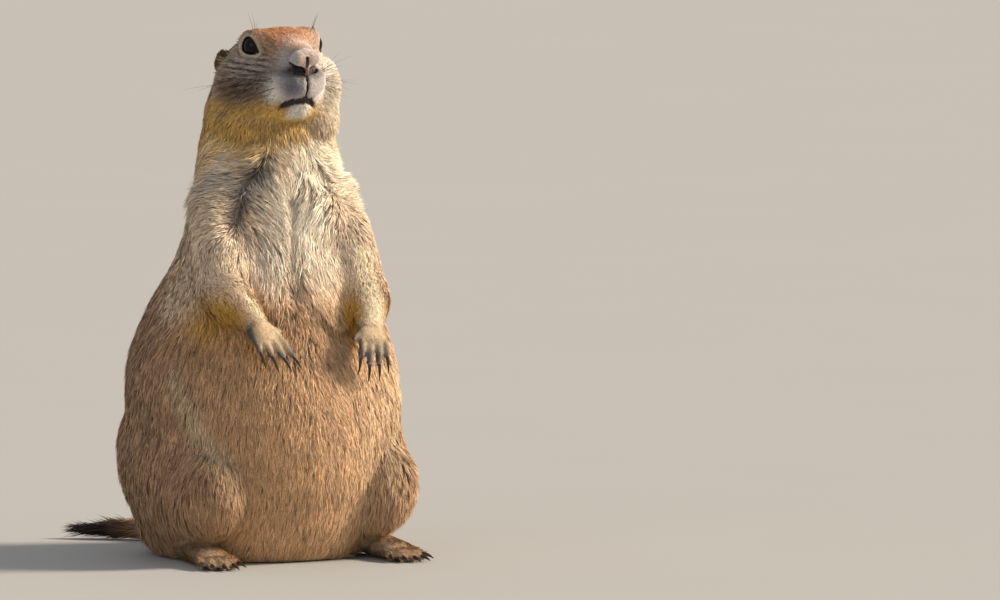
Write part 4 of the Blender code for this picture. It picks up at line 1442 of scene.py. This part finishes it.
def cut_away(obj, lines):
    """Takes tubes along lines of the head out of a closed form."""
    bm = bmesh.new()
    for line in lines:
        rows = tube_rows(line)
        tube(bm, from_head(rows[:, :3]), rows[:, 3] * MM)
    bmesh.ops.recalc_face_normals(bm, faces=bm.faces)
    tool = finished(bm, "cut")
    cut = obj.modifiers.new("Cut", "BOOLEAN")
    cut.operation = "DIFFERENCE"
    cut.solver = "EXACT"
    cut.use_self = True
    cut.object = tool
    applied(obj)
    bpy.data.objects.remove(tool)


def build_nose():
    """Rounded forms fused into the nose, with its nostrils cut in."""
    bm = bmesh.new()
    for centre, radii in NOSE_FORMS:
        for sign in SIDES.values() if centre[0] else (1,):
            made = bmesh.ops.create_uvsphere(bm, u_segments=32, v_segments=20, radius=1)["verts"]
            at = np.array([v.co for v in made]) * radii + np.array(centre) * (sign, 1, 1)
            for vertex, place in zip(made, from_head(at)):
                vertex.co = place
    bmesh.ops.recalc_face_normals(bm, faces=bm.faces)
    obj = smoothed(remeshed(finished(bm, "nose_pad"), NOSE_VOXEL), 6)
    cut_away(obj, (*NOSTRILS, NOSE_CLEFT))
    return smoothed(remeshed(obj, NOSE_VOXEL), 3)


def nose_shade(head):
    """The colour of the nose's short fur: warm in the middle and bluish grey at the sides."""
    shade = colours()
    return laid(
        np.tile(shade.nose, (len(head), 1)),
        (shade.muzzle, step(head[:, 2], 8, 13) * 0.7),
        (shade.muzzle * (0.62, 0.65, 0.74), step(np.abs(head[:, 0]), 3.5, 6.5) * 0.85),
    )


def dress_nose(mesh):
    """Keeps on the nose its colours and how its very short fur grows."""
    shade = colours()
    head = head_mm(places_of(mesh))
    count = len(head)
    hollow = np.full(count, 99.0)
    for line in NOSTRILS:
        for row in tube_rows(line):
            hollow = np.minimum(hollow, np.linalg.norm(head - row[:3], axis=1) - row[3])
    cleft = on_lines(head, places_in(NOSE_CLEFT))[0]
    septum = marked(head, "septum")
    low = step(-head[:, 2], -4.2, -0.8)
    fur = nose_shade(head)
    tint = laid(
        fur,
        (shade.crown * (0.6, 0.36, 0.36), np.clip(septum * 1.2, 0, 0.85)),
        # Painted shade on the nose's underside, where its skin is bare
        (shade.lips * 0.7, low * 0.85 * (1 - np.clip(septum, 0, 1))),
        # The nostrils and the groove darkened: partly dark skin, partly painted shade in these hollows
        (shade.nostril * 0.4, 1 - step(hollow, 0.25, 0.9)),
        (shade.nostril * 0.5, 1 - step(cleft, 0.9, 1.6)),
    )
    put_colour(mesh, "skin", np.clip(tint, 0.002, 1))
    put_colour(mesh, "coat", fur)
    way = np.tile(HEAD_AXES[1] * 0.9 + HEAD_AXES[2] * 0.5, (count, 1))
    put(mesh, "lie", along_skin(way, normals_of(mesh)))
    for name, value in {**NOSE_HAIR, "part": PARTS.index("head")}.items():
        put(mesh, name, np.full(count, value))
    bare = np.maximum(1 - step(cleft, 1.3, 2.0), 1 - step(hollow, 0.8, 1.7))
    put(mesh, "bare", np.clip(np.maximum(low * 1.6, bare), 0, 1))


class PRAIRIE_OT_nose(bpy.types.Operator):
    """Make the nose with its two nostrils"""

    bl_idname = "prairie_dog.nose"
    bl_label = "Nose"

    def execute(self, context):
        obj = build_nose()
        dress_nose(obj.data)
        coloured(obj, nose_material())
        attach(obj, "root")
        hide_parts("nose")
        return {"FINISHED"}


# Eyes

class PRAIRIE_OT_eyes(bpy.types.Operator):
    """Make the glossy dark eyes"""

    bl_idname = "prairie_dog.eyes"
    bl_label = "Eyes"

    def execute(self, context):
        iris = colours().iris
        material = ramp_material("eye", 0.06, (700, 3), iris, iris * 0.3, 0.16, 0.4, 0.7)
        for name in SIDES:
            low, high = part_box(f"eye_{name}")
            bm = bmesh.new()
            bmesh.ops.create_uvsphere(bm, u_segments=40, v_segments=24, radius=(high - low).x / 2)
            bm.transform(Matrix.Translation((low + high) / 2))
            obj = coloured(finished(bm, f"eyeball_{name}"), material)
            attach(obj, "root")
            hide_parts(f"eye_{name}")
        return {"FINISHED"}


# Claws

class PRAIRIE_OT_claws(bpy.types.Operator):
    """Make the claws of hands and feet"""

    bl_idname = "prairie_dog.claws"
    bl_label = "Claws"

    def execute(self, context):
        horn = colours().claw
        material = ramp_material("claw horn", 0.32, (1200, 3, (1, 1, 0.3)), horn * 0.5, horn * 1.8)
        for paw in ("front_right", "front_left", "hind_right", "hind_left"):
            nodes = [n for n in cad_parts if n.startswith(f"claw_{paw}")]
            bm = bmesh.new()
            for node in nodes:
                bm.from_mesh(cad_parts[node].data)
            bmesh.ops.remove_doubles(bm, verts=bm.verts, dist=1e-6)
            bmesh.ops.join_triangles(bm, faces=bm.faces, angle_face_threshold=3.1, angle_shape_threshold=3.1)
            obj = finished(bm, f"claws_{paw}")
            round_off = obj.modifiers.new("Round", "SUBSURF")
            round_off.levels = round_off.render_levels = 2
            coloured(applied(obj), material)
            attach(obj, "root")
            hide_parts(*nodes)
        return {"FINISHED"}


# Whiskers

def whisker_line(draw, skin, row, sign, share, steps):
    """Places along one whisker, from its root on the skin."""
    first, last, _, way, longest = row
    at = np.array(first) + (np.array(last) - first) * share + draw.normal(0, 0.4, 3)
    met = np.array(skin.closest_point_on_mesh(Vector(from_head(at * (sign, 1, 1))))[1])
    out = np.array(way) + draw.normal(0, 0.1, 3)
    out = unit((out * (sign, 1, 1) @ HEAD_AXES)[None])[0]
    length = longest * draw.uniform(0.6, 1.0) * (0.7 + 0.3 * share)
    droop = np.array((0, 0.35, -0.18)) * draw.uniform(0.3, 1.0)
    return [met + (out * (s * length - 0.4) + droop * s * s * length * 0.5) * MM for s in steps]


class PRAIRIE_OT_whiskers(bpy.types.Operator):
    """Set the whiskers of muzzle, brow and cheek"""

    bl_idname = "prairie_dog.whiskers"
    bl_label = "Whiskers"

    def execute(self, context):
        draw = np.random.default_rng(settings("coat").seed)
        skin = bpy.data.objects["skin"]
        steps = np.linspace(0, 1, 6)
        radii = [0.13 * MM * (1 - 0.85 * s) for s in steps]
        bm = bmesh.new()
        for sign in SIDES.values():
            for row in WHISKERS:
                for share in np.linspace(0, 1, row[2]):
                    tube(bm, whisker_line(draw, skin, row, sign, share, steps), radii, sides=4)
        dark, pale = (0.01, 0.008, 0.007), (0.06, 0.045, 0.035)
        obj = coloured(finished(bm, "whiskers"), ramp_material("whisker", 0.4, (300, 2), dark, pale))
        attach(obj, "root")
        return {"FINISHED"}


# Floor, light and camera

# The photo's view: turn and height of the camera in degrees, pixels for each metre, and where the
# model's origin stands in the picture of 1000 by 600
VIEW_TURN = -25.0
VIEW_LIFT = 5.0
PIXELS_PER_METRE = 1850.0
ORIGIN_AT = (243.0, 550.0)
PICTURE = (1000.0, 600.0)
# Width of the camera's sensor, in millimetres
SENSOR = 36.0
# Height over the ground that the fill light points at, and the gap between floor and feet, in metres
AIM_HEIGHT = 0.15
FLOOR_GAP = 0.0002


def view_axes():
    turn, lift = math.radians(VIEW_TURN), math.radians(VIEW_LIFT)
    back = Vector((math.sin(turn) * math.cos(lift), -math.cos(turn) * math.cos(lift), math.sin(lift)))
    right = Vector((math.cos(turn), math.sin(turn), 0))
    return right, back.cross(right), back


def lamp(name, kind, power, colour):
    light = bpy.data.lights.new(name, kind)
    light.energy = power
    light.color = colour
    return light


def set_up(name, data, place, way):
    """Puts a lamp or camera at a place, looking along a way."""
    obj = bpy.data.objects.new(name, data)
    obj.location = place
    obj.rotation_mode = "QUATERNION"
    obj.rotation_quaternion = way.to_track_quat("-Z", "Y")
    bpy.context.scene.collection.objects.link(obj)
    return obj


class PRAIRIE_OT_stage(bpy.types.Operator):
    """Set the pale floor, the soft light and the camera"""

    bl_idname = "prairie_dog.stage"
    bl_label = "Stage"

    def execute(self, context):
        stage = settings("stage")
        bm = bmesh.new()
        bmesh.ops.create_grid(bm, x_segments=2, y_segments=2, size=6)
        floor = finished(bm, "floor")
        pale = np.array(stage.floor)
        floor.data.materials.append(ramp_material("floor", 0.85, (6, 3), pale * 0.97, pale))
        floor.location = (0, 0, CAD_BOX[0].z - FLOOR_GAP)
        world = bpy.data.worlds.new("soft sky")
        world.use_nodes = True
        sky = world.node_tree.nodes["Background"].inputs
        sky["Color"].default_value = (0.93, 0.95, 1.0, 1)
        sky["Strength"].default_value = stage.sky
        right, up, back = view_axes()
        sun = lamp("key", "SUN", stage.key, (1.0, 0.88, 0.72))
        sun.angle = math.radians(14)
        set_up("key", sun, (0, 0, 0), back * 0.06 - right * 0.93 - up * 0.54)
        soft = lamp("fill", "AREA", stage.fill, (0.95, 0.97, 1.0))
        soft.shape = "DISK"
        soft.size = 1.2
        place = back * 1.5 - right * 0.9 + up * 0.7
        set_up("fill", soft, place, Vector((0, 0, AIM_HEIGHT)) - place)
        lens = bpy.data.cameras.new("camera")
        lens.sensor_width = SENSOR
        lens.lens = SENSOR * stage.distance / (PICTURE[0] / PIXELS_PER_METRE)
        lens.clip_start, lens.clip_end = 0.1, 50
        centre = right * ((PICTURE[0] / 2 - ORIGIN_AT[0]) / PIXELS_PER_METRE)
        centre += up * ((ORIGIN_AT[1] - PICTURE[1] / 2) / PIXELS_PER_METRE)
        bpy.context.scene.camera = set_up("camera", lens, centre + back * stage.distance, -back)
        bpy.context.scene.world = world
        bpy.context.scene.view_settings.view_transform = "Standard"
        return {"FINISHED"}


class PRAIRIE_PT_panel(bpy.types.Panel):
    """The prairie dog's pieces in the order that they are made"""

    bl_label = "Prairie Dog"
    bl_idname = "PRAIRIE_PT_panel"
    bl_space_type = "VIEW_3D"
    bl_region_type = "UI"
    bl_category = "Prairie Dog"

    def draw(self, context):
        for operator in OPERATORS:
            self.layout.operator(operator.bl_idname)
        for group in GROUPS:
            box = self.layout.box()
            kept = settings(group)
            for name in names_in(kept):
                box.prop(kept, name)


GROUPS = {"coat": PrairieDogCoat, "colours": PrairieDogColours, "stage": PrairieDogStage}
OPERATORS = (
    PRAIRIE_OT_skin,
    PRAIRIE_OT_nose,
    PRAIRIE_OT_eyes,
    PRAIRIE_OT_claws,
    PRAIRIE_OT_head_coat,
    PRAIRIE_OT_trunk_coat,
    PRAIRIE_OT_limb_coat,
    PRAIRIE_OT_tail_coat,
    PRAIRIE_OT_whiskers,
    PRAIRIE_OT_stage,
)


def register():
    for kind in (*GROUPS.values(), *OPERATORS, PRAIRIE_PT_panel):
        bpy.utils.register_class(kind)
    for name, kind in GROUPS.items():
        setattr(bpy.types.Scene, f"prairie_dog_{name}", PointerProperty(type=kind))


def unregister():
    for name in GROUPS:
        delattr(bpy.types.Scene, f"prairie_dog_{name}")
    for kind in (PRAIRIE_PT_panel, *reversed(OPERATORS), *GROUPS.values()):
        bpy.utils.unregister_class(kind)


def main():
    register()
    for operator in OPERATORS:
        group, name = operator.bl_idname.split(".")
        getattr(getattr(bpy.ops, group), name)()


if __name__ == "__main__":
    main()
